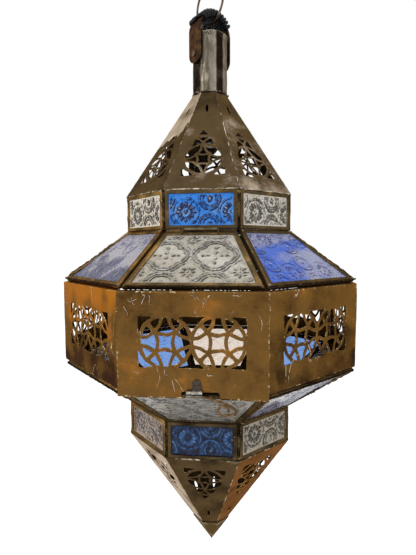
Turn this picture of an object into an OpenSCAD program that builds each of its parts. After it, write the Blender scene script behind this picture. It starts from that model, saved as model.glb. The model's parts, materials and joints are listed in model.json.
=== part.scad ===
// Eight-sided hanging lantern: pierced sheet belt and cones, framed panes of pressed glass, a hinged
// door with a wire latch, and a neck tube that hangs from a bail and a ring.
// Millimetres, +Z up. The origin is where a hook carries the ring, at the top of the ring's inside.
// Face 0 looks along -Y, and the faces are counted anticlockwise seen from above.

/* [Belt] */
// Width of the belt from corner to corner
belt_across = 300; // [270:1:330]
// Height of a fixed belt panel
belt_h = 77; // [66:1:90]
// Thickness of the sheet metal
sheet_t = 1; // [0.8:0.1:1.2]
// Width of the folded edges along the top and bottom of a belt panel
return_w = 6; // [4:0.5:8]
// Side of one square cell of the belt's piercing
belt_cell = 40; // [34:0.5:42]
// Width of the bars that the saw leaves between the belt's openings
belt_bar = 2.8; // [2.2:0.1:3.2]

/* [Glazed tiers] */
// Height of a sloping tier
shoulder_h = 45; // [38:0.5:52]
// How far the sloping tiers' outer corners stand in from the belt's
shoulder_step = 2; // [1:0.1:3]
// Width of the two upright bands from corner to corner
band_across = 175.5; // [150:0.5:190]
// Height of an upright band
band_h = 34; // [28:0.5:42]
// Depth of the folded channel that frames a pane
channel_t = 4; // [3.6:0.1:4.8]
// Face width of the channel on the sloping tiers
shoulder_flange = 4.4; // [3.4:0.1:6]
// Face width of the channel on the upright bands
band_flange = 3.2; // [2.4:0.1:4.5]
// Wall of the folded channel
fold_t = 0.8; // [0.5:0.1:1]
// Thickness of the pressed glass
glass_t = 2; // [1.4:0.1:2.2]

/* [Cones] */
// Height of a cone if it ran to a point
cone_h = 133; // [115:1:150]
// Side of the square cell of a cone's pierced round
cone_cell = 35.5; // [28:0.5:38]
// Width of the bars in the cones' piercing
cone_bar = 2.1; // [1.8:0.1:2.8]
// Height of the slit near the top of a cone's face
slit_h = 12; // [8:0.5:15]
// Width of that slit
slit_w = 3; // [2:0.1:4]
// Height of the cap over the lower tip, along the slope
tip_cap_h = 36; // [24:1:42]

/* [Neck and bail] */
// Outer diameter of the neck tube
neck_d = 35.4; // [32:0.1:38]
// Height of the neck tube
neck_h = 59; // [48:0.5:70]
// Wall of the neck tube
neck_t = 1.2; // [0.8:0.1:1.6]
// Width of the bail's strap
bail_w = 18; // [14:0.5:20]
// Thickness of the bail's strap
bail_t = 1.5; // [1:0.1:2]
// Depth of the bail's pin below the mouth of the neck tube
pin_drop = 20.5; // [16:0.5:24]
// Diameter of the bail's pin
pin_d = 2.6; // [2:0.1:3]
// Height of the arch's centre above the pin
arch_rise = 22; // [20:0.5:28]
// Diameter of the cord wound round the arch
cord_d = 3; // [2.4:0.1:3.1]
// Mean diameter of the hanging ring
ring_d = 42; // [40:0.5:56]
// Thickness of the ring's wire
ring_wire = 2.2; // [1.8:0.1:3]

/* [Door and latch] */
// Length of the hinge's rolled tube
hinge_len = 28; // [20:1:34]
// Outer diameter of the hinge's rolled tube
hinge_d = 3.2; // [2.8:0.1:4]
// Thickness of the wire in the hinge
hinge_wire_d = 1.6; // [1.4:0.1:2.2]
// Length of the latch's two tubes
latch_len = 12; // [9:0.5:14]
// Outer diameter of the latch's two tubes
latch_d = 2.4; // [2.3:0.1:3.4]
// Thickness of the wire in the latch
latch_wire_d = 1.6; // [1.3:0.05:1.7]
// Reach of the latch's wire from the middle of its tube
latch_reach = 32; // [28:0.5:38]
// Mean radius of the latch's finger eye
eye_r = 3.8; // [3.6:0.1:4.2]

/* [Lamp] */
// Diameter of the lamp holder
holder_d = 28; // [24:0.5:30]
// Length of the lamp holder
holder_h = 46; // [40:1:56]
// Diameter of the bulb
bulb_d = 35; // [28:1:45]
// Length of the bulb's glass
bulb_h = 66; // [50:1:74]
// Diameter of the lamp's flex
flex_d = 5; // [4.4:0.1:5.6]

/* [Hidden] */
$fn = 48;
sides = 8;
turn = 360 / sides;
half_turn = turn / 2;

// Clearances: pieces that only meet, panes and seams, a pin that turns, and cut overruns
seat_fit = 0.2;
pane_fit = 0.1;
turn_fit = 0.07;
overrun = 1;

function apothem(r) = r * cos(half_turn);
function half_side(r) = r * sin(half_turn);

// What a seam takes off the side of a plate of unit thickness that leans at the given angle
function seam_share(tilt) = tan(acos(pow(sin(tilt), 2) * cos(turn) + pow(cos(tilt), 2)) / 2);

// Rings of the body, as distances from the axis to a corner
belt_r = belt_across / 2;
band_r = band_across / 2;
shoulder_r = belt_r - shoulder_step;

// Slopes, and lengths along them
shoulder_tilt = atan(shoulder_h / (apothem(shoulder_r) - apothem(band_r)));
shoulder_slant = norm([apothem(shoulder_r) - apothem(band_r), shoulder_h]);
cone_tilt = atan(cone_h / apothem(band_r));
cone_slant = norm([apothem(band_r), cone_h]);

// The upper cone is cut where its corners stand out from the neck tube by a narrow lip
neck_r = neck_d / 2;
neck_lip = 0.6;
cone_cut = cone_h * (1 - (neck_r + neck_lip) / band_r);

// Heights over the belt's middle, each tier's inner edge resting on the one below
shoulder_z = belt_h / 2 + channel_t * cos(shoulder_tilt) + seat_fit;
band_z = shoulder_z + shoulder_h + seat_fit;
cone_z = band_z + band_h + sheet_t * cos(cone_tilt) + seat_fit;
neck_z = cone_z + cone_cut + seat_fit;
pin_z = neck_z + neck_h - pin_drop;
arch_z = pin_z + arch_rise;

// The arch runs clear of the neck tube, and a stadium round its section holds the winding
neck_play = 0.9;
arch_r = neck_r + neck_play;
arch_mid = arch_r + bail_t / 2;
wind_gap = 0.3;
wind_half_t = bail_t / 2 + wind_gap + cord_d / 2;
wind_half_w = bail_w / 2 + wind_gap + cord_d / 2;
wound_t = wind_half_t + cord_d / 2;
wound_w = wind_half_w + cord_d / 2;

// The ring carries the winding by the two round ends of that stadium
ring_in = (ring_d - ring_wire) / 2;
ring_z = arch_z + arch_mid + sqrt(pow(ring_in - wound_t - wind_gap, 2) - pow(wound_w - wound_t, 2));
belt_z = -ring_z - ring_in;

// The bail stands across the corner between the front and the left-hand face
bail_turn = 45;

face_names = ["front", "front_right", "right", "back_right", "back", "back_left", "left", "front_left"];

// Places: the body under the ring, the bail's own directions, a face by number and every second face
module hung() translate([0, 0, belt_z]) children();
module along_bail() rotate([0, 0, bail_turn]) children();
module faces(first, step = 1) for (k = [first : step : sides - 1]) rotate([0, 0, turn * k]) children();

// The tiers under the belt repeat those above it, upside down
module below() mirror([0, 0, 1]) children();

// Lays a plate on a face: X along the face from its middle, Y up it from its lower edge, and Z out of it,
// with Z = 0 on the tier's outer surface
module on_face(r, z, tilt) {
  translate([0, -apothem(r), z])
    rotate([tilt, 0, 0])
      children();
}
module on_belt() on_face(belt_r, -belt_h / 2, 90) children();
module on_shoulder() on_face(shoulder_r, shoulder_z, shoulder_tilt) children();
module on_band() on_face(band_r, band_z, 90) children();
module on_cone() on_face(band_r, cone_z, cone_tilt) children();

// A trapezoid of half widths wb and wt and height h, taken in by d on every side
function side_x(wb, wt, h, d, y) = wb - (wb - wt) * y / h - d * norm([1, (wb - wt) / h]);
function trapezoid(wb, wt, h, d = 0) = [
  [-side_x(wb, wt, h, d, d), d],
  [side_x(wb, wt, h, d, d), d],
  [side_x(wb, wt, h, d, h - d), h - d],
  [-side_x(wb, wt, h, d, h - d), h - d]
];

// A folded channel round a pane's opening, its groove open to the inside of the frame
module channel(wb, wt, h, flange) {
  translate([0, 0, -channel_t])
    difference() {
      linear_extrude(channel_t)
        polygon(trapezoid(wb, wt, h));
      translate([0, 0, -overrun])
        linear_extrude(channel_t + overrun * 2)
          polygon(trapezoid(wb, wt, h, flange));
      translate([0, 0, (channel_t - glass_t) / 2 - pane_fit])
        linear_extrude(glass_t + pane_fit * 2)
          polygon(trapezoid(wb, wt, h, fold_t));
    }
}

// The pane that slides into such a channel
module pane(wb, wt, h) {
  translate([0, 0, -(channel_t + glass_t) / 2])
    linear_extrude(glass_t)
      polygon(trapezoid(wb, wt, h, fold_t + pane_fit));
}

// Half widths of the framed tiers, drawn in so that the channels' backs meet at the seam
function lean(wb, wt, h) = norm([1, (wb - wt) / h]);
shoulder_lean = lean(half_side(shoulder_r), half_side(band_r), shoulder_slant);
frame_in = (channel_t * seam_share(shoulder_tilt) + pane_fit) * shoulder_lean;
frame_wb = half_side(shoulder_r) - frame_in;
frame_wt = half_side(band_r) - frame_in;
band_w = half_side(band_r) - channel_t * seam_share(90) - pane_fit;

// One cell of the interlace: a ring, four rounds on its corners kept inside the ring, and four on the
// middles of its sides kept inside a smaller circle. The shares are the radii of the side rounds, of the
// corner rounds and of that circle.
belt_shares = [0.715, 0.845, 1];
cone_shares = [0.71, 0.94, 0.56];
module hoop(r, bar) {
  difference() {
    circle(r + bar / 2);
    circle(r - bar / 2);
  }
}
module interlace(cell, bar, shares) {
  half = cell / 2;
  hoop(half, bar);
  intersection() {
    circle(half);
    for (a = [0 : 90 : 270])
      rotate(a) {
        intersection() {
          circle(half * shares[2]);
          translate([half, 0])
            hoop(half * shares[0], bar);
        }
        translate([half, half])
          hoop(half * shares[1], bar);
      }
  }
}

// The openings of one belt panel, centred: two cells side by side
module belt_piercing() {
  difference() {
    square([belt_cell * 2 + belt_bar / 2, belt_cell - belt_bar / 2], center = true);
    for (s = [-1, 1])
      translate([s * belt_cell / 2, 0])
        interlace(belt_cell, belt_bar, belt_shares);
  }
}

// A belt panel between its seams, with the folded edges along its top and bottom
belt_w = half_side(belt_r) - sheet_t * seam_share(90) - pane_fit / 2;
module belt_fold(w, reach) {
  rotate([90, 0, 0])
    translate([0, -reach, -sheet_t])
      linear_extrude(sheet_t)
        polygon(trapezoid(w - reach * seam_share(90), w, reach));
}
module belt_sheet() {
  translate([0, belt_h / 2, -sheet_t])
    linear_extrude(sheet_t)
      difference() {
        square([belt_w * 2, belt_h], center = true);
        belt_piercing();
      }
  belt_fold(belt_w, return_w);
  translate([0, belt_h - sheet_t, 0])
    belt_fold(belt_w, return_w);
}

// An upright slit: what two equal rounds share
module slit(h, w) {
  r = (h * h + w * w) / (4 * w);
  intersection_for (s = [-1, 1])
    translate([s * (r - w / 2), 0])
      circle(r);
}

// The pierced round of a cone's face, the two corner openings under it and the spire over it, all as
// shares of half its cell. Two arcs that rise from the round cross the spire's foot, and the sawn pattern
// stands a little askew.
spire_shares = [[-0.58, 0.9], [-0.47, 1.3], [-0.29, 1.5], [0.29, 1.5], [0.47, 1.3], [0.58, 0.9]];
foot_shares = [[0.55, -1.06], [1.1, -1.06], [1.1, -0.6], [0.55, -0.6]];
foot_round_share = 1.12;
spire_arc_share = 0.48;
spire_foot_share = 0.98;
spike_share = [0.27, 1.7];
spike_arc_share = 0.46;
window_turn = 3;
module cone_piercing(cell, bar) {
  half = cell / 2;
  difference() {
    union() {
      circle(half);
      polygon(spire_shares * half);
    }
    interlace(cell, bar, cone_shares);
    difference() {
      for (s = [-1, 1])
        translate([s * half * spire_arc_share, half * spire_foot_share])
          hoop(half * spire_arc_share, bar);
      circle(half);
    }
  }
  difference() {
    for (s = [0, 1])
      mirror([s, 0])
        polygon(foot_shares * half);
    circle(half * foot_round_share);
  }
  difference() {
    translate([-half * spike_share[0], half * spike_share[1]])
      square([half * spike_share[0] * 2, half * spike_arc_share]);
    for (s = [-1, 1])
      translate([s * half * spike_arc_share, half * (spike_share[1] + spike_arc_share)])
        circle(half * spike_arc_share);
  }
}

// A gore from the band up to the given distance along the slope
gore_in = (sheet_t * seam_share(cone_tilt) + pane_fit / 2) * lean(half_side(band_r), 0, cone_slant);
gore_window_share = 0.22;
gore_slit_share = 0.64;
module gore(reach) {
  translate([0, 0, -sheet_t])
    linear_extrude(sheet_t)
      difference() {
        polygon(trapezoid(half_side(band_r) - gore_in,
                          half_side(band_r) * (1 - reach / cone_slant) - gore_in, reach));
        translate([0, cone_slant * gore_window_share])
          rotate(window_turn)
            cone_piercing(cone_cell, cone_bar);
        translate([0, cone_slant * gore_slit_share])
          slit(slit_h, slit_w);
      }
}

// Body
module top_cone_gores() {
  color([0.35, 0.31, 0.25])
    hung()
      faces(0)
        on_cone()
          gore(cone_slant * cone_cut / cone_h);
}
module upper_band_frames() {
  color([0.55, 0.46, 0.33])
    hung()
      faces(0)
        on_band()
          channel(band_w, band_w, band_h, band_flange);
}
module upper_band_blue_panes() {
  color([0.2, 0.45, 0.85])
    hung()
      faces(0, 2)
        on_band()
          pane(band_w, band_w, band_h);
}
module upper_band_clear_panes() {
  color([0.8, 0.82, 0.8])
    hung()
      faces(1, 2)
        on_band()
          pane(band_w, band_w, band_h);
}
module upper_frame(k) {
  color([0.5, 0.42, 0.3])
    hung()
      faces(k, sides)
        on_shoulder()
          channel(frame_wb, frame_wt, shoulder_slant, shoulder_flange);
}
module upper_blue_panes() {
  color([0.2, 0.4, 0.8])
    hung()
      faces(1, 2)
        on_shoulder()
          pane(frame_wb, frame_wt, shoulder_slant);
}
module upper_clear_panes() {
  color([0.8, 0.82, 0.8])
    hung()
      faces(2, 2)
        on_shoulder()
          pane(frame_wb, frame_wt, shoulder_slant);
}
module belt_panel(k) {
  color([0.48, 0.35, 0.2])
    hung()
      faces(k, sides)
        on_belt()
          belt_sheet();
}
module lower_frame(k) {
  color([0.45, 0.37, 0.26])
    hung()
      below()
        faces(k, sides)
          on_shoulder()
            channel(frame_wb, frame_wt, shoulder_slant, shoulder_flange);
}
module lower_blue_panes() {
  color([0.2, 0.35, 0.7])
    hung()
      below()
        faces(1, 2)
          on_shoulder()
            pane(frame_wb, frame_wt, shoulder_slant);
}
module lower_clear_panes() {
  color([0.78, 0.8, 0.78])
    hung()
      below()
        faces(0, 2)
          on_shoulder()
            pane(frame_wb, frame_wt, shoulder_slant);
}
module lower_band_frames() {
  color([0.45, 0.38, 0.27])
    hung()
      below()
        faces(0)
          on_band()
            channel(band_w, band_w, band_h, band_flange);
}
module lower_band_blue_panes() {
  color([0.12, 0.25, 0.5])
    hung()
      below()
        faces(0, 2)
          on_band()
            pane(band_w, band_w, band_h);
}
module lower_band_clear_panes() {
  color([0.78, 0.8, 0.78])
    hung()
      below()
        faces(1, 2)
          on_band()
            pane(band_w, band_w, band_h);
}

// The lower gores run on until they are a point of this half width
gore_tip = 0.3;
module bottom_cone_gores() {
  color([0.33, 0.28, 0.21])
    hung()
      below()
        faces(0)
          on_cone()
            gore(cone_slant * (1 - (gore_in + gore_tip) / half_side(band_r)));
}

// A pointed cap pressed over the lower tip, each of its surfaces a pyramid like the cone's, moved out
cap_t = 0.5;
module tip_cap() {
  share = tip_cap_h / cone_slant;
  gap = seat_fit / cos(cone_tilt);
  wall = cap_t / cos(cone_tilt);
  foot = cone_z + cone_h * (1 - share);
  color([0.3, 0.25, 0.19])
    hung()
      below()
        rotate([0, 0, half_turn])
          difference() {
            translate([0, 0, foot])
              cylinder(h = cone_h * share + gap + wall, r1 = band_r * (share + (gap + wall) / cone_h), r2 = 0,
                       $fn = sides);
            translate([0, 0, foot - overrun])
              cylinder(h = cone_h * share + gap + overrun,
                       r1 = band_r * (share + (gap + overrun) / cone_h), r2 = 0, $fn = sides);
          }
}

// Neck: the tube stands on the gores' cut tops, and a plate across its foot carries the lamp
module cross_rod(r, len) {
  rotate([0, 90, 0])
    cylinder(r = r, h = len, center = true);
}
module neck_tube() {
  color([0.72, 0.7, 0.66])
    hung()
      difference() {
        translate([0, 0, neck_z])
          cylinder(r = neck_r, h = neck_h);
        translate([0, 0, neck_z - overrun])
          cylinder(r = neck_r - neck_t, h = neck_h + overrun * 2);
        along_bail()
          translate([0, 0, pin_z])
            cross_rod(pin_d / 2 + turn_fit, neck_d * 2);
      }
}

// Lamp fittings: a threaded tube through the plate, held by a nut on each side
plate_t = 1.5;
vent_r = 2;
nipple_r = 5;
nut_across = 14;
nut_h = 3;
nipple_grip = 8;
nipple_above = 6;
plate_z = neck_z + seat_fit;
plate_r = neck_r - neck_t - seat_fit;
holder_top = plate_z - nut_h - seat_fit * 2;
module neck_plate() {
  color([0.6, 0.55, 0.45])
    hung()
      translate([0, 0, plate_z])
        difference() {
          cylinder(r = plate_r, h = plate_t);
          translate([0, 0, -overrun])
            cylinder(r = nipple_r + turn_fit, h = plate_t + overrun * 2);
          for (a = [0 : 90 : 270])
            rotate(a)
              translate([(plate_r + nut_across / 2) / 2, 0, -overrun])
                cylinder(r = vent_r, h = plate_t + overrun * 2);
        }
}
module lamp_nipple() {
  color([0.8, 0.7, 0.4])
    hung()
      translate([0, 0, holder_top - nipple_grip])
        difference() {
          cylinder(r = nipple_r, h = plate_z + plate_t + nipple_above - holder_top + nipple_grip);
          translate([0, 0, -overrun])
            cylinder(r = flex_d / 2 + wind_gap, h = neck_h);
        }
}
module nipple_nuts() {
  color([0.75, 0.66, 0.4])
    hung()
      for (z = [plate_z - nut_h - pane_fit, plate_z + plate_t + pane_fit])
        translate([0, 0, z])
          difference() {
            cylinder(r = nut_across / 2 / cos(30), h = nut_h, $fn = 6);
            translate([0, 0, -overrun])
              cylinder(r = nipple_r + turn_fit, h = nut_h + overrun * 2);
          }
}

// Lamp holder: a skirt round the bulb's cap, a rib, and a dome that takes the nipple
holder_wall = 2;
cap_r = 7;
cap_h = 20;
contact_r = 3.5;
contact_h = 1.5;
skirt_share = 0.42;
dome_share = 0.68;
module lamp_holder() {
  r = holder_d / 2;
  well = cap_h + contact_h + overrun;
  socket = cap_r + pane_fit;
  color([0.08, 0.08, 0.08])
    hung()
      translate([0, 0, holder_top - holder_h])
        difference() {
          rotate_extrude()
            polygon([[socket, 0], [r - holder_wall, 0], [r, holder_wall], [r, holder_h * skirt_share],
                     [r - holder_wall / 2, holder_h * skirt_share + holder_wall / 2],
                     [r - holder_wall / 2, holder_h * dome_share],
                     [nipple_r + holder_wall * 2, holder_h - holder_wall], [nipple_r + holder_wall, holder_h],
                     [nipple_r + turn_fit, holder_h], [nipple_r + turn_fit, holder_h - nipple_grip - overrun],
                     [socket, holder_h - nipple_grip - overrun]]);
          for (a = [0 : turn : 360 - turn])
            rotate(a)
              translate([r, 0, well / 2])
                cylinder(r = holder_wall / 2, h = well, center = true);
        }
}

// The bulb: a cap with its contact, and a candle of glass whose radius follows a sine
bulb_top = holder_top - holder_h;
bulb_bend_share = 0.8;
bulb_end_share = 0.9;
bulb_steps = 18;
module bulb_cap() {
  color([0.8, 0.75, 0.6])
    hung()
      translate([0, 0, bulb_top - seat_fit]) {
        cylinder(r = cap_r, h = cap_h);
        translate([0, 0, cap_h])
          cylinder(r = contact_r, h = contact_h);
      }
}
module bulb_glass() {
  color([0.9, 0.92, 0.92])
    hung()
      translate([0, 0, bulb_top - seat_fit * 2 - bulb_h])
        rotate_extrude()
          polygon(concat([for (i = [0 : bulb_steps])
                            let (u = i / bulb_steps)
                              [bulb_d / 2 * pow(sin(180 * bulb_end_share * u), bulb_bend_share), bulb_h * u]],
                         [[0, bulb_h]]));
}

// A closed tube of radius r and count sides, swept along a list of points by carrying one side along
function unit(v) = v / norm(v);
function heading(path, i) = unit(path[min(i + 1, len(path) - 1)] - path[max(i - 1, 0)]);
function carried(path, side, i = 0, made = []) =
  i == len(path) ? made :
  let (t = heading(path, i), n = unit(side - (side * t) * t))
    carried(path, n, i + 1, concat(made, [[n, cross(t, n)]]));
module tube(path, r, count, side) {
  basis = carried(path, side);
  last = len(path) - 1;
  polyhedron(
    points = [for (i = [0 : last]) for (j = [0 : count - 1])
      path[i] + r * (cos(360 * j / count) * basis[i][0] + sin(360 * j / count) * basis[i][1])],
    faces = concat(
      [for (i = [0 : last - 1]) for (j = [0 : count - 1])
        let (a = i * count + j, b = i * count + (j + 1) % count)
          each [[a, b + count, b], [a, a + count, b + count]]],
      [for (j = [1 : count - 2]) [0, j, j + 1]],
      [for (j = [1 : count - 2]) [last * count, last * count + j + 1, last * count + j]]
    )
  );
}

// Flex: up from the holder through the nipple and past the pin, over in one bend above the neck's mouth,
// and its end tucked down the other side
flex_route = [[0, 0, -9], [0, 0, 0], [0, 0, 12], [0, -1, 22], [0, -4, 32], [0, -7, 42], [0, -8, 50],
              [0, -8, 55], [0, -7.4, 58.4], [0, -5.6, 62], [0, -3, 64.6], [0, 0, 65.6], [0, 3, 64.6],
              [0, 5.6, 62], [0, 7.4, 58.4], [0, 8, 55], [0, 8, 46], [0, 8, 38]];
flex_sides = 10;
module lamp_flex() {
  color([0.06, 0.06, 0.07])
    hung()
      along_bail()
        translate([0, 0, holder_top])
          tube(flex_route, flex_d / 2, flex_sides, [1, 0, 0]);
}

// Bail: the arch, and two legs with round ends about the pin
module bail_strap() {
  color([0.3, 0.24, 0.19])
    hung()
      along_bail()
        difference() {
          union() {
            translate([0, 0, arch_z])
              rotate([90, 0, 0])
                rotate_extrude(angle = 180)
                  translate([arch_r, -bail_w / 2])
                    square([bail_t, bail_w]);
            for (s = [-1, 1])
              translate([s * arch_mid, 0, pin_z]) {
                translate([0, 0, arch_rise / 2])
                  cube([bail_t, bail_w, arch_rise], center = true);
                cross_rod(bail_w / 2, bail_t);
              }
          }
          translate([0, 0, pin_z])
            cross_rod(pin_d / 2 + turn_fit, neck_d * 2);
        }
}
pin_head = 1.4;
module bail_pin() {
  seat = arch_r + bail_t + pane_fit;
  color([0.25, 0.23, 0.22])
    hung()
      along_bail()
        translate([0, 0, pin_z]) {
          cross_rod(pin_d / 2, (seat + pin_head) * 2);
          for (s = [-1, 1])
            translate([s * (seat + pin_head / 2), 0, 0])
              cross_rod(pin_d, pin_head);
        }
}

// Grip: one unbroken cord that runs round the strap while it climbs over the arch. One loop is a
// stadium, in order a half flat, a round end, a flat, a round end and a half flat.
grip_turns = 10;
grip_angle = 120;
loop_rings = 24;
cord_sides = 6;
flat_run = (wind_half_w - wind_half_t) * 2;
bend_run = PI * wind_half_t;
loop_run = (flat_run + bend_run) * 2;
function round_end(s, side) =
  let (a = side * (90 - 180 * s / bend_run))
    [side * (flat_run / 2 + wind_half_t * cos(a)), wind_half_t * sin(a)];
function stadium(s) =
  s < flat_run / 2 ? [s, wind_half_t] :
  s < flat_run / 2 + bend_run ? round_end(s - flat_run / 2, 1) :
  s < flat_run * 1.5 + bend_run ? [flat_run + bend_run - s, -wind_half_t] :
  s < flat_run * 1.5 + bend_run * 2 ? round_end(s - flat_run * 1.5 - bend_run, -1) :
  [s - loop_run, wind_half_t];
function grip_point(i) =
  let (p = stadium((i % loop_rings) * loop_run / loop_rings),
       a = 90 + grip_angle * (0.5 - i / (grip_turns * loop_rings)),
       r = arch_mid + p[1])
    [r * cos(a), p[0], r * sin(a)];
grip_loops = [for (i = [0 : grip_turns * loop_rings]) grip_point(i)];

// Each end runs on straight for one diameter, along the outside of the strap
function run_on(path, a, b) = path[a] + unit(path[a] - path[b]) * cord_d;
grip_last = len(grip_loops) - 1;
grip_line = concat([run_on(grip_loops, 0, 1)], grip_loops, [run_on(grip_loops, grip_last, grip_last - 1)]);

module grip_winding() {
  color([0.05, 0.05, 0.07])
    hung()
      along_bail()
        translate([0, 0, arch_z])
          tube(grip_line, cord_d / 2, cord_sides, [1, 0, 0]);
}

// Least gap of the winding to itself, between points more than half a loop apart along the cord
grip_gap = min([for (i = [0 : len(grip_line) - 1])
                for (j = [i + loop_rings / 2 : min(i + loop_rings * 2, len(grip_line) - 1)])
                  norm(grip_line[i] - grip_line[j])]) - cord_d;
echo(grip_gap = grip_gap);

module hang_ring() {
  color([0.45, 0.38, 0.32])
    hung()
      along_bail()
        translate([0, 0, ring_z])
          rotate([0, 90, 0])
            rotate_extrude()
              translate([ring_d / 2, 0])
                circle(ring_wire / 2);
}

// Hinge line: the wire lies on the door's frame and the tube stands in front of the band's lower rail
hinge_y = -apothem(band_r) - hinge_d / 2 - seat_fit;
hinge_lift = hinge_wire_d / 2 + seat_fit;
hinge_z = shoulder_z + (hinge_y + apothem(shoulder_r)) * tan(shoulder_tilt) + hinge_lift / cos(shoulder_tilt);
hinge_slant = (hinge_y + apothem(shoulder_r)) * cos(shoulder_tilt)
  + (hinge_z - shoulder_z) * sin(shoulder_tilt);

// Door: a shoulder pane in its frame and a belt panel, joined as one leaf that stands just proud
door_gap = 1.8;
door_len = hinge_slant - hinge_d / 2 - seat_fit;
door_in = (channel_t * seam_share(shoulder_tilt) + door_gap) * shoulder_lean;
door_wb = half_side(shoulder_r) - door_in;
door_wt = half_side(shoulder_r) - door_in
  - (half_side(shoulder_r) - half_side(band_r)) * door_len / shoulder_slant;
door_proud = 0.3;
door_drop = 4.2;
door_fold_in = 0.4;
door_foot = 1.2;
hem_lap = 4;
hem_gap = [-8, 21];
module door_frame() {
  color([0.52, 0.43, 0.3])
    hung()
      on_shoulder()
        channel(door_wb, door_wt, door_len, shoulder_flange);
}
module door_pane() {
  color([0.82, 0.84, 0.82])
    hung()
      on_shoulder()
        pane(door_wb, door_wt, door_len);
}
module door_panel() {
  w = half_side(belt_r);
  color([0.5, 0.37, 0.21])
    hung()
      on_belt()
        translate([0, 0, door_proud]) {
          linear_extrude(sheet_t)
            difference() {
              translate([-w, door_foot])
                square([w * 2, belt_h - door_foot]);
              translate([0, belt_h / 2])
                belt_piercing();
            }
          translate([0, belt_h - sheet_t, sheet_t])
            belt_fold(belt_w - door_fold_in, return_w + door_proud + sheet_t);
        }
}

// Two hems behind the door panel's lower edge hide the gap over the lower shoulder, one each side of the
// latch
module door_hems() {
  w = belt_w - door_fold_in;
  color([0.46, 0.34, 0.2])
    hung()
      on_belt()
        translate([0, -door_drop, door_proud - pane_fit / 2 - sheet_t])
          linear_extrude(sheet_t)
            for (x = [[-w, hem_gap[0]], [hem_gap[1], w]])
              translate([x[0], 0])
                square([x[1] - x[0], door_drop + door_foot + hem_lap]);
}

// Hinge: a rolled tube with its tail under the band, and the door's wire that turns in it
module rolled_tube(d, len, wire) {
  difference() {
    union() {
      cross_rod(d / 2, len);
      children();
    }
    cross_rod(wire / 2 + turn_fit, len + overrun * 2);
  }
}
tail_len = 5;
module hinge_tube() {
  color([0.55, 0.55, 0.53])
    hung()
      translate([0, hinge_y, hinge_z])
        rolled_tube(hinge_d, hinge_len, hinge_wire_d)
          translate([-hinge_len / 2, 0, band_z - seat_fit - fold_t - hinge_z])
            cube([hinge_len, tail_len, fold_t]);
}

// A strip under the band, behind the door's head, which shuts the gap there. Its middle starts under the
// tube's tail.
lintel_in = 0.8;
lintel_h = 5.5;
lintel_play = 1.9;
module door_lintel() {
  w = half_side(band_r) - lintel_in - lintel_play;
  top = band_z - seat_fit;
  color([0.4, 0.34, 0.25])
    hung()
      translate([0, -apothem(band_r) + lintel_in, 0])
        difference() {
          translate([-w, 0, top - lintel_h])
            cube([w * 2, fold_t, lintel_h]);
          translate([-hinge_len / 2 - seat_fit, -overrun, top - fold_t - pane_fit])
            cube([hinge_len + seat_fit * 2, fold_t + overrun * 2, lintel_h]);
        }
}
leg_len = 6.5;
module hinge_wire() {
  arm = hinge_len / 2 + hinge_wire_d;
  color([0.45, 0.4, 0.35])
    hung()
      translate([0, hinge_y, hinge_z]) {
        cross_rod(hinge_wire_d / 2, arm * 2);
        for (s = [-1, 1])
          translate([s * arm, 0, 0]) {
            sphere(d = hinge_wire_d);
            rotate([shoulder_tilt + 90, 0, 0])
              cylinder(d = hinge_wire_d, h = leg_len);
          }
      }
}

// Latch: the keeper on the door, and under it the tube on the lower shoulder, where the wire turns
latch_x = 2;
latch_y = -apothem(belt_r) - door_proud - sheet_t - pane_fit - latch_d / 2;
keeper_drop = 1;
keeper_z = keeper_drop - belt_h / 2;
latch_z = keeper_z - latch_d - seat_fit * 2;
tongue_w = 7;
tongue_h = 9;
tongue_shift = 1.8;
tongue_t = 0.6;
module latch_keeper() {
  color([0.4, 0.39, 0.36])
    hung()
      translate([latch_x, latch_y, keeper_z])
        rolled_tube(latch_d, latch_len, latch_wire_d)
          translate([tongue_shift, latch_d / 2, latch_d / 2 - tongue_t / 2])
            rotate([90, 0, 0])
              linear_extrude(tongue_t) {
                translate([0, tongue_h - tongue_w / 2])
                  circle(tongue_w / 2);
                translate([-tongue_w / 2, 0])
                  square([tongue_w, tongue_h - tongue_w / 2]);
              }
}
tab_len = 4;
module latch_tube() {
  foot = [-apothem(shoulder_r) - latch_y, -shoulder_z - latch_z];
  color([0.62, 0.6, 0.56])
    hung()
      translate([latch_x, latch_y, latch_z])
        rolled_tube(latch_d, latch_len, latch_wire_d)
          rotate([90, 0, 90])
            translate([0, 0, -latch_len / 2])
              linear_extrude(latch_len) {
                translate([0, -fold_t])
                  square([foot[0] - seat_fit, fold_t]);
                translate([foot[0] - seat_fit - fold_t, foot[1] - fold_t / 2])
                  square([fold_t, -foot[1] + fold_t / 2]);
                translate(foot)
                  rotate(-shoulder_tilt)
                    translate([-fold_t / 2, -seat_fit - fold_t])
                      square([tab_len, fold_t]);
              }
}

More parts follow.
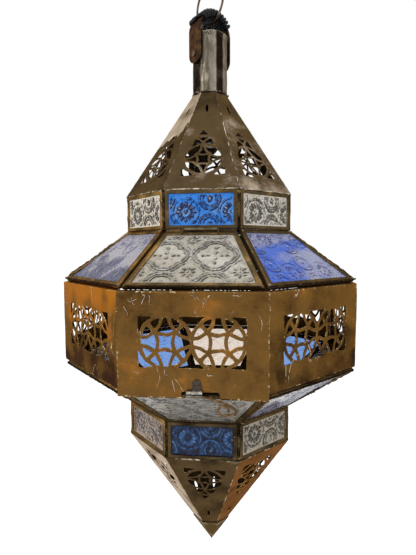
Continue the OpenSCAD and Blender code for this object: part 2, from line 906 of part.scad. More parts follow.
// The wire's bends past the tube and the middle of its eye, in X and Z, as shares of its reach. The wire
// enters the eye at one angle and curls round by another. Each bend is a little fuller than the wire.
latch_shares = [[0.22, 0], [0.48, -0.065], [0.74, -0.145], [0.88, -0.205], [0.98, -0.29], [0.97, -0.37],
                [0.88, -0.41]];
eye_share = [0.685, -0.31];
eye_entry = -50;
eye_curl = 325;
bend_share = 1.08;
stop_r = 1.2;
module wire_run(a, b, d) {
  v = b - a;
  translate([a[0], 0, a[1]]) {
    sphere(d = d * bend_share);
    rotate([0, atan2(v[0], v[1]), 0])
      cylinder(d = d, h = norm(v));
  }
}
module latch_wire() {
  start = -latch_len / 2 - seat_fit - stop_r;
  eye = eye_share * latch_reach;
  entry = eye + eye_r * [cos(eye_entry), sin(eye_entry)];
  bends = concat([[start, 0]], latch_shares * latch_reach, [entry]);
  color([0.62, 0.5, 0.34])
    hung()
      translate([latch_x, latch_y, latch_z]) {
        for (i = [0 : len(bends) - 2])
          wire_run(bends[i], bends[i + 1], latch_wire_d);
        translate([start, 0, 0])
          cross_rod(stop_r, stop_r);
        translate([entry[0], 0, entry[1]])
          sphere(d = latch_wire_d * bend_share);
        translate([eye[0], 0, eye[1]])
          rotate([90, 0, 0])
            rotate(eye_entry - eye_curl)
              rotate_extrude(angle = eye_curl)
                translate([eye_r, 0])
                  circle(latch_wire_d / 2);
      }
}

hang_ring();
bail_strap();
bail_pin();
grip_winding();
neck_tube();
neck_plate();
lamp_nipple();
nipple_nuts();
lamp_flex();
lamp_holder();
bulb_cap();
bulb_glass();
top_cone_gores();
upper_band_frames();
upper_band_blue_panes();
upper_band_clear_panes();
for (k = [1 : sides - 1]) {
  upper_frame(k);
  belt_panel(k);
}
upper_blue_panes();
upper_clear_panes();
for (k = [0 : sides - 1])
  lower_frame(k);
lower_blue_panes();
lower_clear_panes();
lower_band_frames();
lower_band_blue_panes();
lower_band_clear_panes();
bottom_cone_gores();
tip_cap();
door_frame();
door_pane();
door_panel();
door_hems();
door_lintel();
hinge_tube();
hinge_wire();
latch_keeper();
latch_tube();
latch_wire();
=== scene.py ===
"""Looks of an eight-sided hanging lantern: pressed glass panes in folded frames, a pierced sheet belt and
cones, soldered seams, a tinned neck tube, and a bail wound with black cord.

Lengths are in millimetres and become metres when a mesh is made. X runs along a face, Y up it from its
lower edge and Z out of it, with Z = 0 on the tier's outer surface. Faces are counted anticlockwise from
the front."""
import json
import math

import bpy
import numpy as np
from mathutils import Matrix, Vector


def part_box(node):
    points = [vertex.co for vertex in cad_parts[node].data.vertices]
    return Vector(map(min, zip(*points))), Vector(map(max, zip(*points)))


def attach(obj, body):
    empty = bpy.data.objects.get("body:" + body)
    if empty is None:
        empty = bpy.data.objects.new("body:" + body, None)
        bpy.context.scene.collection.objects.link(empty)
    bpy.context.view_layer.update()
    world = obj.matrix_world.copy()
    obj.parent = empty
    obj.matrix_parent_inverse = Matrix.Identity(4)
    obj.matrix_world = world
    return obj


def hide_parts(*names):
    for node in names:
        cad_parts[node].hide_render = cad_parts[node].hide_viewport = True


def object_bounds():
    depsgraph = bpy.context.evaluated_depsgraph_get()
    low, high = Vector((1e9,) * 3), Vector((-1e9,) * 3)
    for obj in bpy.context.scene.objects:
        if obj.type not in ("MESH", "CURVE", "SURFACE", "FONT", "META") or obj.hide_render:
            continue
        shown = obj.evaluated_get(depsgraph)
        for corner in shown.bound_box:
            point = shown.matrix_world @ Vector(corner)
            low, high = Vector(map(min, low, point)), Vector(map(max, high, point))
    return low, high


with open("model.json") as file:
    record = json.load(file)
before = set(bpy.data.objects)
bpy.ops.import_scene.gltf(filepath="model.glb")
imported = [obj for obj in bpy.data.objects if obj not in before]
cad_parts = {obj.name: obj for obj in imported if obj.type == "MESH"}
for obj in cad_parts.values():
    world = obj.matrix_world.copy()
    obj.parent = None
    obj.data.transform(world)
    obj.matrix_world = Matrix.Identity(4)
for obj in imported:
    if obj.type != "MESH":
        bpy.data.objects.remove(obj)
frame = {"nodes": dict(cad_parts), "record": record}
cad_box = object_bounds()

# Sizes that the frame's boxes give
MM = 1000.0
SIDES = 8
TURN = 2 * math.pi / SIDES
FACES = ("front", "front_right", "right", "back_right", "back", "back_left", "left", "front_left")


def box(node):
    """The least and the greatest corner of a CAD node, in millimetres."""
    lo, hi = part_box(node)
    return np.array(lo) * MM, np.array(hi) * MM


belt_lo, belt_hi = box("belt_panel_right")
BELT_Z = (belt_lo[2] + belt_hi[2]) / 2
BELT_H = belt_hi[2] - belt_lo[2]
BELT_AP = belt_hi[0]
band_lo, band_hi = box("upper_band_frames")
BAND_Z, BAND_H, BAND_AP = band_lo[2], band_hi[2] - band_lo[2], band_hi[0]
tube_lo, tube_hi = box("neck_tube")
NECK_Z, MOUTH_Z, NECK_R = tube_lo[2], tube_hi[2], (tube_hi[0] - tube_lo[0]) / 2

# Sizes of the sheet, the channels, the glass and the piercing
SEAT, FIT = 0.2, 0.1
SHEET_T, RETURN_W = 1.0, 6.0
CHANNEL_T, FOLD_T, GLASS_T = 4.0, 0.8, 2.0
SHOULDER_FLANGE, BAND_FLANGE = 4.4, 3.2
SHOULDER_H, STEP = 45.0, 2.0
SHOULDER_Z = BAND_Z - SEAT - SHOULDER_H
CONE_H = 133.0
BELT_CELL, BELT_BAR, BELT_SHARES = 40.0, 2.8, (0.715, 0.845, 1.0)
CONE_CELL, CONE_BAR, CONE_SHARES = 35.5, 2.1, (0.71, 0.94, 0.56)
DOOR_GAP, DOOR_PROUD, DOOR_FOOT = 1.8, 0.3, 1.2
DOOR_LOW = box("door_hems")[0][2] - BELT_Z + BELT_H / 2
LATCH_GAP = (-8.0, 21.0)
CORD_D, BAIL_T, BAIL_W = 3.0, 1.5, 18.0


def half_side(apothem):
    return apothem * math.tan(TURN / 2)


def seam_share(tilt):
    """What a seam takes off the side of a plate of unit thickness that leans at tilt."""
    return math.tan(math.acos(math.sin(tilt) ** 2 * math.cos(TURN) + math.cos(tilt) ** 2) / 2)


# Slopes, and widths of the framed tiers
UPRIGHT = math.pi / 2
SHOULDER_AP = BELT_AP - STEP * math.cos(TURN / 2)
SHOULDER_TILT = math.atan(SHOULDER_H / (SHOULDER_AP - BAND_AP))
SHOULDER_SLANT = math.hypot(SHOULDER_H, SHOULDER_AP - BAND_AP)
CONE_TILT = math.atan(CONE_H / BAND_AP)
CONE_SLANT = math.hypot(CONE_H, BAND_AP)
ROUND_SHARE, SLIT_SHARE = 0.22, 0.64
ROUND_Y, SLIT_Y = CONE_SLANT * ROUND_SHARE, CONE_SLANT * SLIT_SHARE
CONE_Z = BAND_Z + BAND_H + SHEET_T * math.cos(CONE_TILT) + SEAT
CONE_CUT = box("top_cone_gores")[1][2] - CONE_Z
LEAN = math.hypot(1, (half_side(SHOULDER_AP) - half_side(BAND_AP)) / SHOULDER_SLANT)
FRAME_IN = (CHANNEL_T * seam_share(SHOULDER_TILT) + FIT) * LEAN
FRAME_WB, FRAME_WT = half_side(SHOULDER_AP) - FRAME_IN, half_side(BAND_AP) - FRAME_IN
BAND_W = half_side(BAND_AP) - CHANNEL_T * seam_share(UPRIGHT) - FIT
BELT_W = half_side(BELT_AP) - SHEET_T * seam_share(UPRIGHT) - FIT / 2
DOOR_IN = (CHANNEL_T * seam_share(SHOULDER_TILT) + DOOR_GAP) * LEAN
DOOR_LEN = (box("door_frame")[1][2] - SHOULDER_Z) / math.sin(SHOULDER_TILT)
DOOR_WB = half_side(SHOULDER_AP) - DOOR_IN
DOOR_WT = DOOR_WB - (half_side(SHOULDER_AP) - half_side(BAND_AP)) * DOOR_LEN / SHOULDER_SLANT


def face(k, apothem, z, tilt, below=False):
    """The 4x4 matrix from a face's own X, Y, Z to the row frame. below mirrors it under the belt's middle."""
    a = TURN * k
    c, s, ct, st = math.cos(a), math.sin(a), math.cos(tilt), math.sin(tilt)
    spin = np.array([[c, -s, 0, 0], [s, c, 0, 0], [0, 0, 1, 0], [0, 0, 0, 1]])
    lay = np.array([[1, 0, 0, 0], [0, ct, -st, -apothem], [0, st, ct, z], [0, 0, 0, 1]])
    flip = np.diag([1, 1, -1 if below else 1, 1]).astype(float)
    flip[2, 3] = 2 * BELT_Z if below else 0
    return flip @ spin @ lay


def on_shoulder(k, below=False):
    return face(k, SHOULDER_AP, SHOULDER_Z, SHOULDER_TILT, below)


def on_band(k, below=False):
    return face(k, BAND_AP, BAND_Z, UPRIGHT, below)


def on_cone(k, below=False):
    return face(k, BAND_AP, CONE_Z, CONE_TILT, below)


def on_belt(k):
    return face(k, BELT_AP, BELT_Z - BELT_H / 2, UPRIGHT)


def move(points, matrix):
    return points @ matrix[:3, :3].T + matrix[:3, 3]


def waves(seed, x, y, size, count=14):
    """A smooth uneven height of about unit reach: the sum of sine waves of random heading, near size long."""
    rng = np.random.default_rng(seed)
    total = np.zeros(np.broadcast(x, y).shape)
    for a, length, phase in zip(rng.uniform(0, 2 * math.pi, count), rng.uniform(0.6, 1.8, count) * size,
                                rng.uniform(0, 2 * math.pi, count)):
        total += np.sin((x * math.cos(a) + y * math.sin(a)) * 2 * math.pi / length + phase)
    return total * math.sqrt(2 / count) / 1.6


def spaced(start, end, step):
    return np.linspace(start, end, max(2, round(abs(end - start) / step) + 1))


class Shape:
    """Gathers the surfaces of one piece, with the wear and the tone at each point for its material. On
    glass the wear is painted shade on steep slopes and the tone is the relief's height for painted
    highlights; on metal the tone also carries painted light and shade by face.
    """

    def __init__(self):
        self.points, self.faces, self.wear, self.tone, self.count = [], [], [], [], 0

    def add(self, points, faces, wear=0.0, tone=0.5, flip=False, matrix=None):
        points = np.asarray(points, float).reshape(-1, 3)
        if matrix is not None:
            points = move(points, matrix)
            flip = flip != (np.linalg.det(matrix[:3, :3]) < 0)
        for f in faces:
            f = np.atleast_2d(f) + self.count
            self.faces.append(f[:, ::-1] if flip else f)
        self.points.append(points)
        self.wear.append(np.broadcast_to(np.ravel(wear), len(points)))
        self.tone.append(np.broadcast_to(np.ravel(tone), len(points)))
        self.count += len(points)

    def grid(self, points, close_u=False, close_v=False, caps=False, **rest):
        """A grid of points, u by v by 3, as four-sided faces that look along du x dv. It may close on itself
        either way, and caps shuts both ends of a tube whose v runs round."""
        nu, nv = points.shape[:2]
        index = np.arange(nu * nv).reshape(nu, nv)
        if close_u:
            index = np.concatenate([index, index[:1]])
        if close_v:
            index = np.concatenate([index, index[:, :1]], axis=1)
        corners = (index[:-1, :-1], index[1:, :-1], index[1:, 1:], index[:-1, 1:])
        faces = [np.stack(corners, -1).reshape(-1, 4)]
        if caps:
            faces += [index[0, :nv], index[-1, :nv][::-1]]
        self.add(points, faces, **rest)

    def piece(self, name, body, slot, *replaces, finish=None):
        """Makes the Blender object, in metres, riding on a body of the frame. Its material is the slot's own
        unless finish names another."""
        mesh = bpy.data.meshes.new(name)
        faces = [row for f in self.faces for row in f.tolist()]
        mesh.from_pydata(np.concatenate(self.points) / MM, [], faces)
        mesh.polygons.foreach_set("use_smooth", np.full(len(mesh.polygons), True))
        for key, parts in (("wear", self.wear), ("tone", self.tone)):
            values = mesh.attributes.new(key, "FLOAT", "POINT").data
            values.foreach_set("value", np.float32(np.concatenate(parts)))
        mesh.materials.append(M[finish or slot])
        mesh.update()
        obj = bpy.data.objects.new(name, mesh)
        bpy.context.scene.collection.objects.link(obj)
        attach(obj, body)
        if replaces:
            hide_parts(*replaces)


# Materials


class Nodes:
    """Adds shader nodes to one tree. Each call gives back an output socket."""

    def __init__(self, tree):
        self.tree = tree

    def put(self, node, inputs):
        for key, value in inputs.items():
            if isinstance(value, bpy.types.NodeSocket):
                self.tree.links.new(value, node.inputs[key])
            else:
                node.inputs[key].default_value = value
        return node

    def add(self, kind, inputs=None, out=0, **settings):
        node = self.tree.nodes.new("ShaderNode" + kind)
        for key, value in settings.items():
            setattr(node, key, value)
        return self.put(node, inputs or {}).outputs[out]

    def place(self):
        return self.add("TexCoord", out="Object")

    def attribute(self, name):
        return self.add("Attribute", out="Fac", attribute_name=name)

    def stretch(self, vector, scale):
        return self.add("Mapping", {"Vector": vector, "Scale": scale})

    def noise(self, vector, scale, detail=3.0, rough=0.5, twist=0.0):
        return self.add("TexNoise", {"Vector": vector, "Scale": scale, "Detail": detail, "Roughness": rough,
                                     "Distortion": twist})

    def ramp(self, value, low, high, to_low=0.0, to_high=1.0):
        return self.add("MapRange", {"Value": value, "From Min": low, "From Max": high, "To Min": to_low,
                                     "To Max": to_high}, interpolation_type="SMOOTHSTEP")

    def mix(self, share, a, b):
        return self.add("Mix", {0: share, 6: a, 7: b}, out=2, data_type="RGBA")

    def math(self, operation, a, b=0.0):
        return self.add("Math", {0: a, 1: b}, operation=operation)

    def plus(self, a, b):
        return self.math("ADD", a, b)

    def times(self, a, b):
        return self.math("MULTIPLY", a, b)

    def group(self, tree, **inputs):
        node = self.tree.nodes.new("ShaderNodeGroup")
        node.node_tree = tree
        return self.put(node, inputs).outputs


def effect(name, inputs, outputs, wire):
    """A shader node group. inputs maps each name to its default, and wire gets the nodes and the input
    sockets and gives the output sockets by name."""
    tree = bpy.data.node_groups.new(name, "ShaderNodeTree")
    kinds = {float: "NodeSocketFloat", tuple: "NodeSocketColor"}
    for key, value in inputs.items():
        kind = "NodeSocketVector" if value is None else kinds[type(value)]
        socket = tree.interface.new_socket(key, in_out="INPUT", socket_type=kind)
        if value is not None:
            socket.default_value = value
    for key, kind in outputs.items():
        tree.interface.new_socket(key, in_out="OUTPUT", socket_type=kind)
    start, end = tree.nodes.new("NodeGroupInput"), tree.nodes.new("NodeGroupOutput")
    for key, socket in wire(Nodes(tree), start.outputs).items():
        tree.links.new(socket, end.inputs[key])
    return tree


def rgb(r, g, b):
    """A colour written as the eye sees it, 0 to 255, as Blender's linear values."""
    lin = [c / 12.92 if c <= 0.04045 else ((c + 0.055) / 1.055) ** 2.4 for c in (r / 255, g / 255, b / 255)]
    return (*lin, 1.0)


def wire_patina(n, i):
    """Tone picks between dark, base and light, made uneven by a coarse and a fine noise and by faint level
    streaks. Worn edges break up into bright crumbs, and a few dark specks lie over all."""
    v = i["Vector"]
    coarse = n.noise(v, i["Scale"], 3.0, 0.55, 0.6)
    fine = n.noise(v, n.times(i["Scale"], 9.0), 3.0, 0.65)
    uneven = n.plus(n.ramp(coarse, 0.3, 0.7, -0.32, 0.32), n.ramp(fine, 0.3, 0.7, -0.13, 0.13))
    streak = n.ramp(n.noise(n.stretch(v, (0.4, 0.4, 3.0)), 420.0, 3.0, 0.6), 0.3, 0.7, -0.035, 0.035)
    level = n.plus(n.plus(i["Tone"], streak), n.times(uneven, i["Mottle"]))
    tone = n.mix(n.ramp(level, 0.0, 0.5), i["Dark"], i["Base"])
    tone = n.mix(n.ramp(level, 0.5, 1.0), tone, i["Light"])
    specks = n.ramp(n.noise(v, n.times(i["Scale"], 26.0), 2.0), 0.64, 0.72)
    tone = n.mix(n.times(specks, i["Specks"]), tone, i["Dark"])
    crumbs = n.noise(v, 420.0, 2.0, 0.7)
    worn = n.ramp(n.plus(i["Wear"], n.ramp(crumbs, 0.3, 0.7, -0.45, 0.45)), 0.45, 0.85)
    tone = n.mix(worn, tone, i["Edge"])
    return {"Color": tone, "Height": fine, "Mask": n.math("MAXIMUM", n.ramp(level, 0.2, 0.9), worn)}


COLOUR, NUMBER = "NodeSocketColor", "NodeSocketFloat"
PATINA = effect(
    "patina", {"Vector": None, "Scale": 40.0, "Tone": 0.5, "Mottle": 1.0, "Base": rgb(120, 95, 65),
               "Dark": rgb(60, 45, 30), "Light": rgb(160, 130, 95), "Edge": rgb(200, 180, 150),
               "Specks": 0.3, "Wear": 0.0},
    {"Color": COLOUR, "Height": NUMBER, "Mask": NUMBER}, wire_patina)


def wire_scratches(n, i):
    """Fine curved lines: the zero line of a noise drawn out along one way, kept only where a coarse noise is
    high."""
    v = n.stretch(i["Vector"], (1.0, 1.0, 0.45))
    wave = n.noise(v, i["Scale"], 1.0, 0.4, 1.6)
    line = n.ramp(n.math("ABSOLUTE", n.math("SUBTRACT", wave, 0.5)), 0.0, i["Width"], 1.0, 0.0)
    kept = n.ramp(n.noise(i["Vector"], n.times(i["Scale"], 1.1), 2.0), 0.56, 0.62)
    broken = n.ramp(n.noise(i["Vector"], 260.0, 2.0), 0.4, 0.55)
    return {"Mask": n.times(n.times(line, kept), broken)}


SCRATCHES = effect("scratches", {"Vector": None, "Scale": 22.0, "Width": 0.006}, {"Mask": NUMBER},
                   wire_scratches)
M = {}


def material(name, wire):
    """Puts a material in M under its name. Its Principled BSDF gets the sockets and constants that wire
    gives, by name."""
    m = bpy.data.materials.new(name)
    m.use_nodes = True
    nodes = Nodes(m.node_tree)
    nodes.put(m.node_tree.nodes["Principled BSDF"], wire(nodes))
    M[name] = m


SHEEN = 0.25


def worn_metal(base, dark, light, edge, scale=40.0, specks=0.3, mottle=1.0, rough=(0.52, 0.34), scratch=None,
               stain=None, tone=True, glint=None):
    """Sheet metal with a patina, bright worn edges, shallow dents and a fine grain. glint colours what it
    reflects at a flat angle, and tone is False where the mesh has no wear and tone of its own."""

    def wire(n):
        v = n.place()
        level = n.attribute("tone") if tone else 0.5
        wear = n.attribute("wear") if tone else 0.0
        patina = n.group(PATINA, Vector=v, Scale=scale, Base=base, Dark=dark, Light=light, Edge=edge,
                         Specks=specks, Wear=wear, Tone=level, Mottle=mottle)
        colour = patina["Color"]
        if stain:
            colour = n.mix(n.ramp(n.noise(v, 16.0, 3.0, 0.6, 0.8), 0.64, 0.8, 0.0, 0.7), colour, stain)
        if scratch:
            colour = n.mix(n.group(SCRATCHES, Vector=v, Scale=24.0, Width=0.007)["Mask"], colour, scratch)
        grain = n.plus(n.times(patina["Height"], 0.04), n.times(n.noise(v, 1500.0, 2.0, 0.6), 0.004))
        height = n.plus(n.noise(v, 24.0, 1.0, 0.4), grain)
        normal = n.add("Bump", {"Strength": 0.3, "Distance": 0.004, "Height": height})
        return {"Base Color": colour, "Metallic": 0.85, "Normal": normal, "Specular IOR Level": SHEEN,
                "Specular Tint": glint or edge, "Roughness": n.ramp(patina["Mask"], 0.0, 1.0, *rough)}

    return wire


def pressed_glass(tint, film, line, rough, transmission, spark, ripple=0.35, film_share=(0.45, 0.62),
                  film_scale=11.0, film_from=None):
    """Glass with a satin ground. Steep sides of the relief take the line colour as painted shade, and its
    crests take a near-white painted highlight. A pale patch with a feathered edge, a painted reflection, lies
    over part of it, thicker above the given height where one is given, and fine waves and a stipple roughen
    its face."""

    def wire(n):
        v = n.place()
        stipple = n.plus(n.times(n.noise(v, 1000.0, 2.0), 0.03), n.noise(v, 60.0, 2.0, 0.4))
        normal = n.add("Bump", {"Strength": 0.3, "Distance": 0.0012, "Height": stipple})
        # Painted reflection: a pale patch with a feathered edge, which also gets a glossy coat
        cloud = n.noise(n.stretch(v, (1.0, 1.0, 1.6)), film_scale, 4.0, 0.55, 0.5)
        if film_from is not None:
            rise = n.math("SUBTRACT", n.add("SeparateXYZ", {"Vector": v}, out=2), film_from / MM)
            cloud = n.plus(n.times(rise, 12.0), cloud)
        reflection_patch = n.ramp(cloud, *film_share)
        colour = n.mix(reflection_patch, tint, film)
        colour = n.mix(n.ramp(n.noise(v, 170.0, 3.0, 0.6, 1.2), 0.5, 0.72, 0.0, ripple), colour, line)
        # Painted shade: the line colour on the steep slopes
        colour = n.mix(n.ramp(n.attribute("wear"), 0.12, 0.42), colour, line)
        # Painted highlight: near white on the crests of the relief
        crest_highlight = n.times(n.ramp(n.attribute("tone"), 0.45, 0.9), n.ramp(n.noise(v, 330.0, 2.0), 0.42, 0.62))
        colour = n.mix(n.times(crest_highlight, spark), colour, rgb(246, 248, 250))
        return {"Base Color": colour, "Transmission Weight": transmission, "IOR": 1.45, "Normal": normal,
                "Specular IOR Level": SHEEN, "Coat Weight": n.ramp(reflection_patch, 0.0, 1.0, 0.0, 0.4),
                "Roughness": n.ramp(reflection_patch, 0.0, 1.0, rough, rough + 0.12)}

    return wire


def plain(dark, light, scale, rough, **more):
    """A finish of two close colours in a fine noise."""

    def wire(n):
        v = n.place()
        return {"Base Color": n.mix(n.ramp(n.noise(v, scale), 0.3, 0.7), dark, light),
                "Roughness": n.ramp(n.noise(v, scale / 3), 0.3, 0.7, *rough), **more}

    return wire


def keeper_tin(n):
    """Bright tin on the rolled tube and dark flux on the tongue over it."""
    v = n.place()
    height = n.add("SeparateXYZ", {"Vector": v}, out=2)
    foot = box("latch_keeper")[0][2] / MM
    tongue = n.ramp(height, foot + 0.0022, foot + 0.003)
    grain = n.noise(v, 500.0, 3.0, 0.6)
    tin = n.mix(n.ramp(grain, 0.35, 0.65), rgb(120, 112, 98), rgb(206, 200, 188))
    dark = n.mix(n.ramp(grain, 0.35, 0.65), rgb(40, 32, 25), rgb(74, 62, 48))
    return {"Base Color": n.mix(tongue, tin, dark), "Metallic": 0.5,
            "Roughness": n.ramp(grain, 0.3, 0.7, 0.5, 0.35)}


def metal(name, *colours, **rest):
    material(name, worn_metal(*(rgb(*c) for c in colours), **rest))


def glass(name, tint, film, line, *finish, **rest):
    """finish is the roughness, the transmission and the strength of the painted highlight on the crests."""
    material(name, pressed_glass(rgb(*tint), rgb(*film), rgb(*line), *finish, **rest))


FRAME_COLOURS = (80, 66, 44), (36, 28, 19), (148, 112, 64), (188, 170, 136)
CONE_COLOURS = (80, 65, 44), (36, 28, 18), (196, 180, 160), (150, 112, 70)
BELT_COLOURS = (110, 80, 40), (50, 34, 19), (176, 112, 42), (196, 172, 132)
CONE_GLINT = rgb(196, 180, 160)
metal("frame_metal", *FRAME_COLOURS, scale=60.0, mottle=0.4, rough=(0.5, 0.3))
metal("cone_metal", *CONE_COLOURS, scale=28.0, specks=0.2, mottle=0.4, glint=CONE_GLINT)
metal("belt_metal", *BELT_COLOURS, scale=26.0, mottle=0.4, scratch=rgb(205, 192, 165), stain=rgb(136, 84, 34))
metal("solder_tin", (140, 134, 124), (78, 70, 60), (192, 186, 176), (226, 222, 214), scale=160.0, specks=0.4,
      tone=False)
metal("solder_bead", (150, 138, 116), (74, 62, 46), (206, 196, 178), (232, 226, 214), scale=120.0,
      specks=0.4, rough=(0.5, 0.25))
metal("latch_metal", (104, 76, 48), (60, 43, 26), (146, 114, 78), (206, 180, 146), scale=200.0, tone=False)
metal("tin", (92, 84, 72), (26, 18, 12), (142, 134, 120), (176, 168, 154), scale=90.0, specks=0.5,
      mottle=0.35, rough=(0.55, 0.42))
metal("strap", (66, 48, 36), (38, 28, 21), (104, 79, 56), (172, 148, 120), scale=120.0, specks=0.6,
      tone=False)
metal("wire", (92, 74, 62), (54, 42, 35), (140, 122, 106), (200, 190, 178), scale=150.0, tone=False)
metal("fittings", (196, 164, 96), (140, 110, 60), (220, 190, 125), (240, 220, 160), scale=90.0, specks=0.1,
      tone=False)
material("holder", plain(rgb(16, 16, 17), rgb(34, 33, 33), 300.0, (0.25, 0.45)))
material("bulb", plain(rgb(244, 246, 246), rgb(252, 252, 252), 60.0, (0.02, 0.04),
                       **{"Transmission Weight": 1.0, "IOR": 1.02}))
material("cord", plain(rgb(4, 4, 7), rgb(14, 14, 19), 500.0, (0.45, 0.65), **{"Specular IOR Level": SHEEN}))
glass("blue_glass", (50, 108, 226), (156, 160, 196), (24, 40, 120), 0.1, 0.2, 0.7, film_share=(0.5, 0.6))
glass("clear_glass", (204, 190, 166), (214, 202, 182), (60, 52, 40), 0.12, 0.1, 0.9)
metal("frame_metal_plain", *FRAME_COLOURS, scale=60.0, tone=False)
metal("cone_metal_plain", *CONE_COLOURS, scale=28.0, mottle=0.4, tone=False, glint=CONE_GLINT)
metal("belt_metal_plain", *BELT_COLOURS, scale=26.0, mottle=0.5, tone=False)
metal("tin_plain", (128, 120, 110), (46, 34, 26), (196, 188, 178), (228, 220, 210), tone=False)
glass("blue_glass_vivid", (56, 150, 255), (170, 214, 250), (6, 26, 84), 0.08, 0.1, 0.9, ripple=0.1,
      film_share=(0.55, 0.68))
glass("blue_glass_deep", (2, 18, 50), (4, 30, 70), (62, 110, 172), 0.1, 0.0, 0.6, ripple=0.3)
glass("clear_glass_satin", (182, 174, 158), (200, 192, 178), (70, 64, 54), 0.14, 0.12, 0.85, ripple=0.3)
glass("clear_glass_cream", (246, 234, 212), (250, 242, 226), (66, 56, 44), 0.1, 0.06, 0.9)
# The upper shoulder's front-left pane: a painted reflection over its upper part
glass("blue_glass_film", (40, 40, 76), (166, 160, 170), (116, 114, 150), 0.12, 0.3, 0.2,
      film_share=(0.5, 0.58), film_scale=24.0, film_from=SHOULDER_Z + 14.0)
glass("blue_glass_back", (134, 170, 228), (120, 166, 236), (112, 150, 220), 0.1, 0.9, 0.2)
glass("clear_glass_back", (240, 226, 212), (244, 232, 220), (222, 204, 190), 0.1, 0.9, 0.2)
material("keeper_tin", keeper_tin)
# The lower shoulder's front-right pane: a painted reflection as a pale strip near the belt
glass("blue_glass_pale_strip", (84, 84, 122), (200, 194, 194), (60, 58, 92), 0.12, 0.1, 0.2,
      film_share=(0.5, 0.58), film_scale=24.0, film_from=2 * BELT_Z - SHOULDER_Z - 17.0)
glass("clear_glass_smoky", (160, 124, 90), (170, 140, 112), (60, 44, 34), 0.12, 0.0, 0.8, ripple=0.5)
metal("hinge_wire", (96, 84, 64), (46, 38, 28), (140, 126, 100), (190, 176, 150), scale=140.0, tone=False)
metal("cone_metal_warm", (110, 78, 38), (64, 43, 20), (150, 110, 60), (190, 160, 112), scale=28.0,
      specks=0.2, mottle=0.5)

CAD_FINISH = {"latch_keeper": "keeper_tin", "hinge_wire": "hinge_wire", "hinge_tube": "hinge_wire"}
slots = {s["node"]: s["material_slot"] for s in frame["record"]["subparts"]}
for name, obj in frame["nodes"].items():
    slot = slots[name]
    finish = slot + "_plain" if slot + "_plain" in M else slot
    obj.data.materials.clear()
    obj.data.materials.append(M[CAD_FINISH.get(name, finish)])


# Pressed glass


def side_x(wb, wt, h, d, y):
    """Half width at height y of a trapezoid taken in by d."""
    return wb - (wb - wt) * y / h - d * math.hypot(1, (wb - wt) / h)


def ridge(d, width):
    return np.exp(-(d / width) ** 2)


def cell(x, period):
    return (x + period / 2) % period - period / 2


LATTICE = 40.0


def medallions(x, y):
    """Four-lobed medallions on a square lattice, each outlined by three fine ridges with a cusp on both
    sides. A column of beads and four leaves lie inside, and a rosette of eight petals where four medallions
    meet."""
    cx, cy = cell(x + 25, LATTICE), cell(y - 37, LATTICE)
    r, a = np.hypot(cx, cy), np.arctan2(cy, cx)
    outline = 18.6 * (0.8 + 0.17 * np.abs(np.cos(2 * a)) ** 0.7) + ridge(np.sin(a), 0.12)
    d = r - outline
    height = 0.75 * (ridge(d, 0.85) + 0.8 * ridge(d + 2.4, 0.7) + 0.6 * ridge(d - 2.4, 0.7))
    for by, br in ((-9.0, 1.3), (-3.2, 1.7), (3.2, 1.7), (9.0, 1.3)):
        height = height + 0.8 * ridge(np.hypot(cx, cy - by), br)
    for bx in (-10.0, -5.6, 5.6, 10.0):
        height = height + 0.6 * ridge(np.hypot(cx - bx, cy * 2.2), 2.0)
    px, py = cell(cx + LATTICE / 2, LATTICE), cell(cy + LATTICE / 2, LATTICE)
    pr, pa = np.hypot(px, py), np.arctan2(py, px)
    height = height + 0.7 * (0.5 + 0.5 * np.cos(8 * pa)) * ridge(pr - 4.2, 2.2) + 0.6 * ridge(pr, 1.3)
    return np.minimum(height, 1.0)


def rosettes(x, y):
    """Rosettes of twelve petals, and between them beads in double rings, one above the other."""
    px, py = 40.6, 21.8 * 2
    cx, cy = cell(x + 13.4, px), cell(y - 14.8, py)
    r, a = np.hypot(cx, cy), np.arctan2(cy, cx)
    height = 0.75 * (0.5 + 0.5 * np.cos(12 * a)) * ridge(r - 6.2, 2.6) + 0.7 * ridge(r, 1.6)
    height = height + 0.4 * ridge(r - 11.5, 0.8)
    for dy in (0.0, py / 2):
        bx, by = cell(x - 7.7, px), cell(y - 4.0 - dy, py)
        br = np.hypot(bx, by)
        height = height + 0.6 * (ridge(br - 8.8, 0.9) + 0.8 * ridge(br - 6.3, 0.8))
        height = height + 0.8 * ridge(np.hypot(bx, by / 1.5), 1.7)
    return np.minimum(height, 1.0)


RELIEF, FADE, PANE_STEP = 0.85, 1.2, 0.65


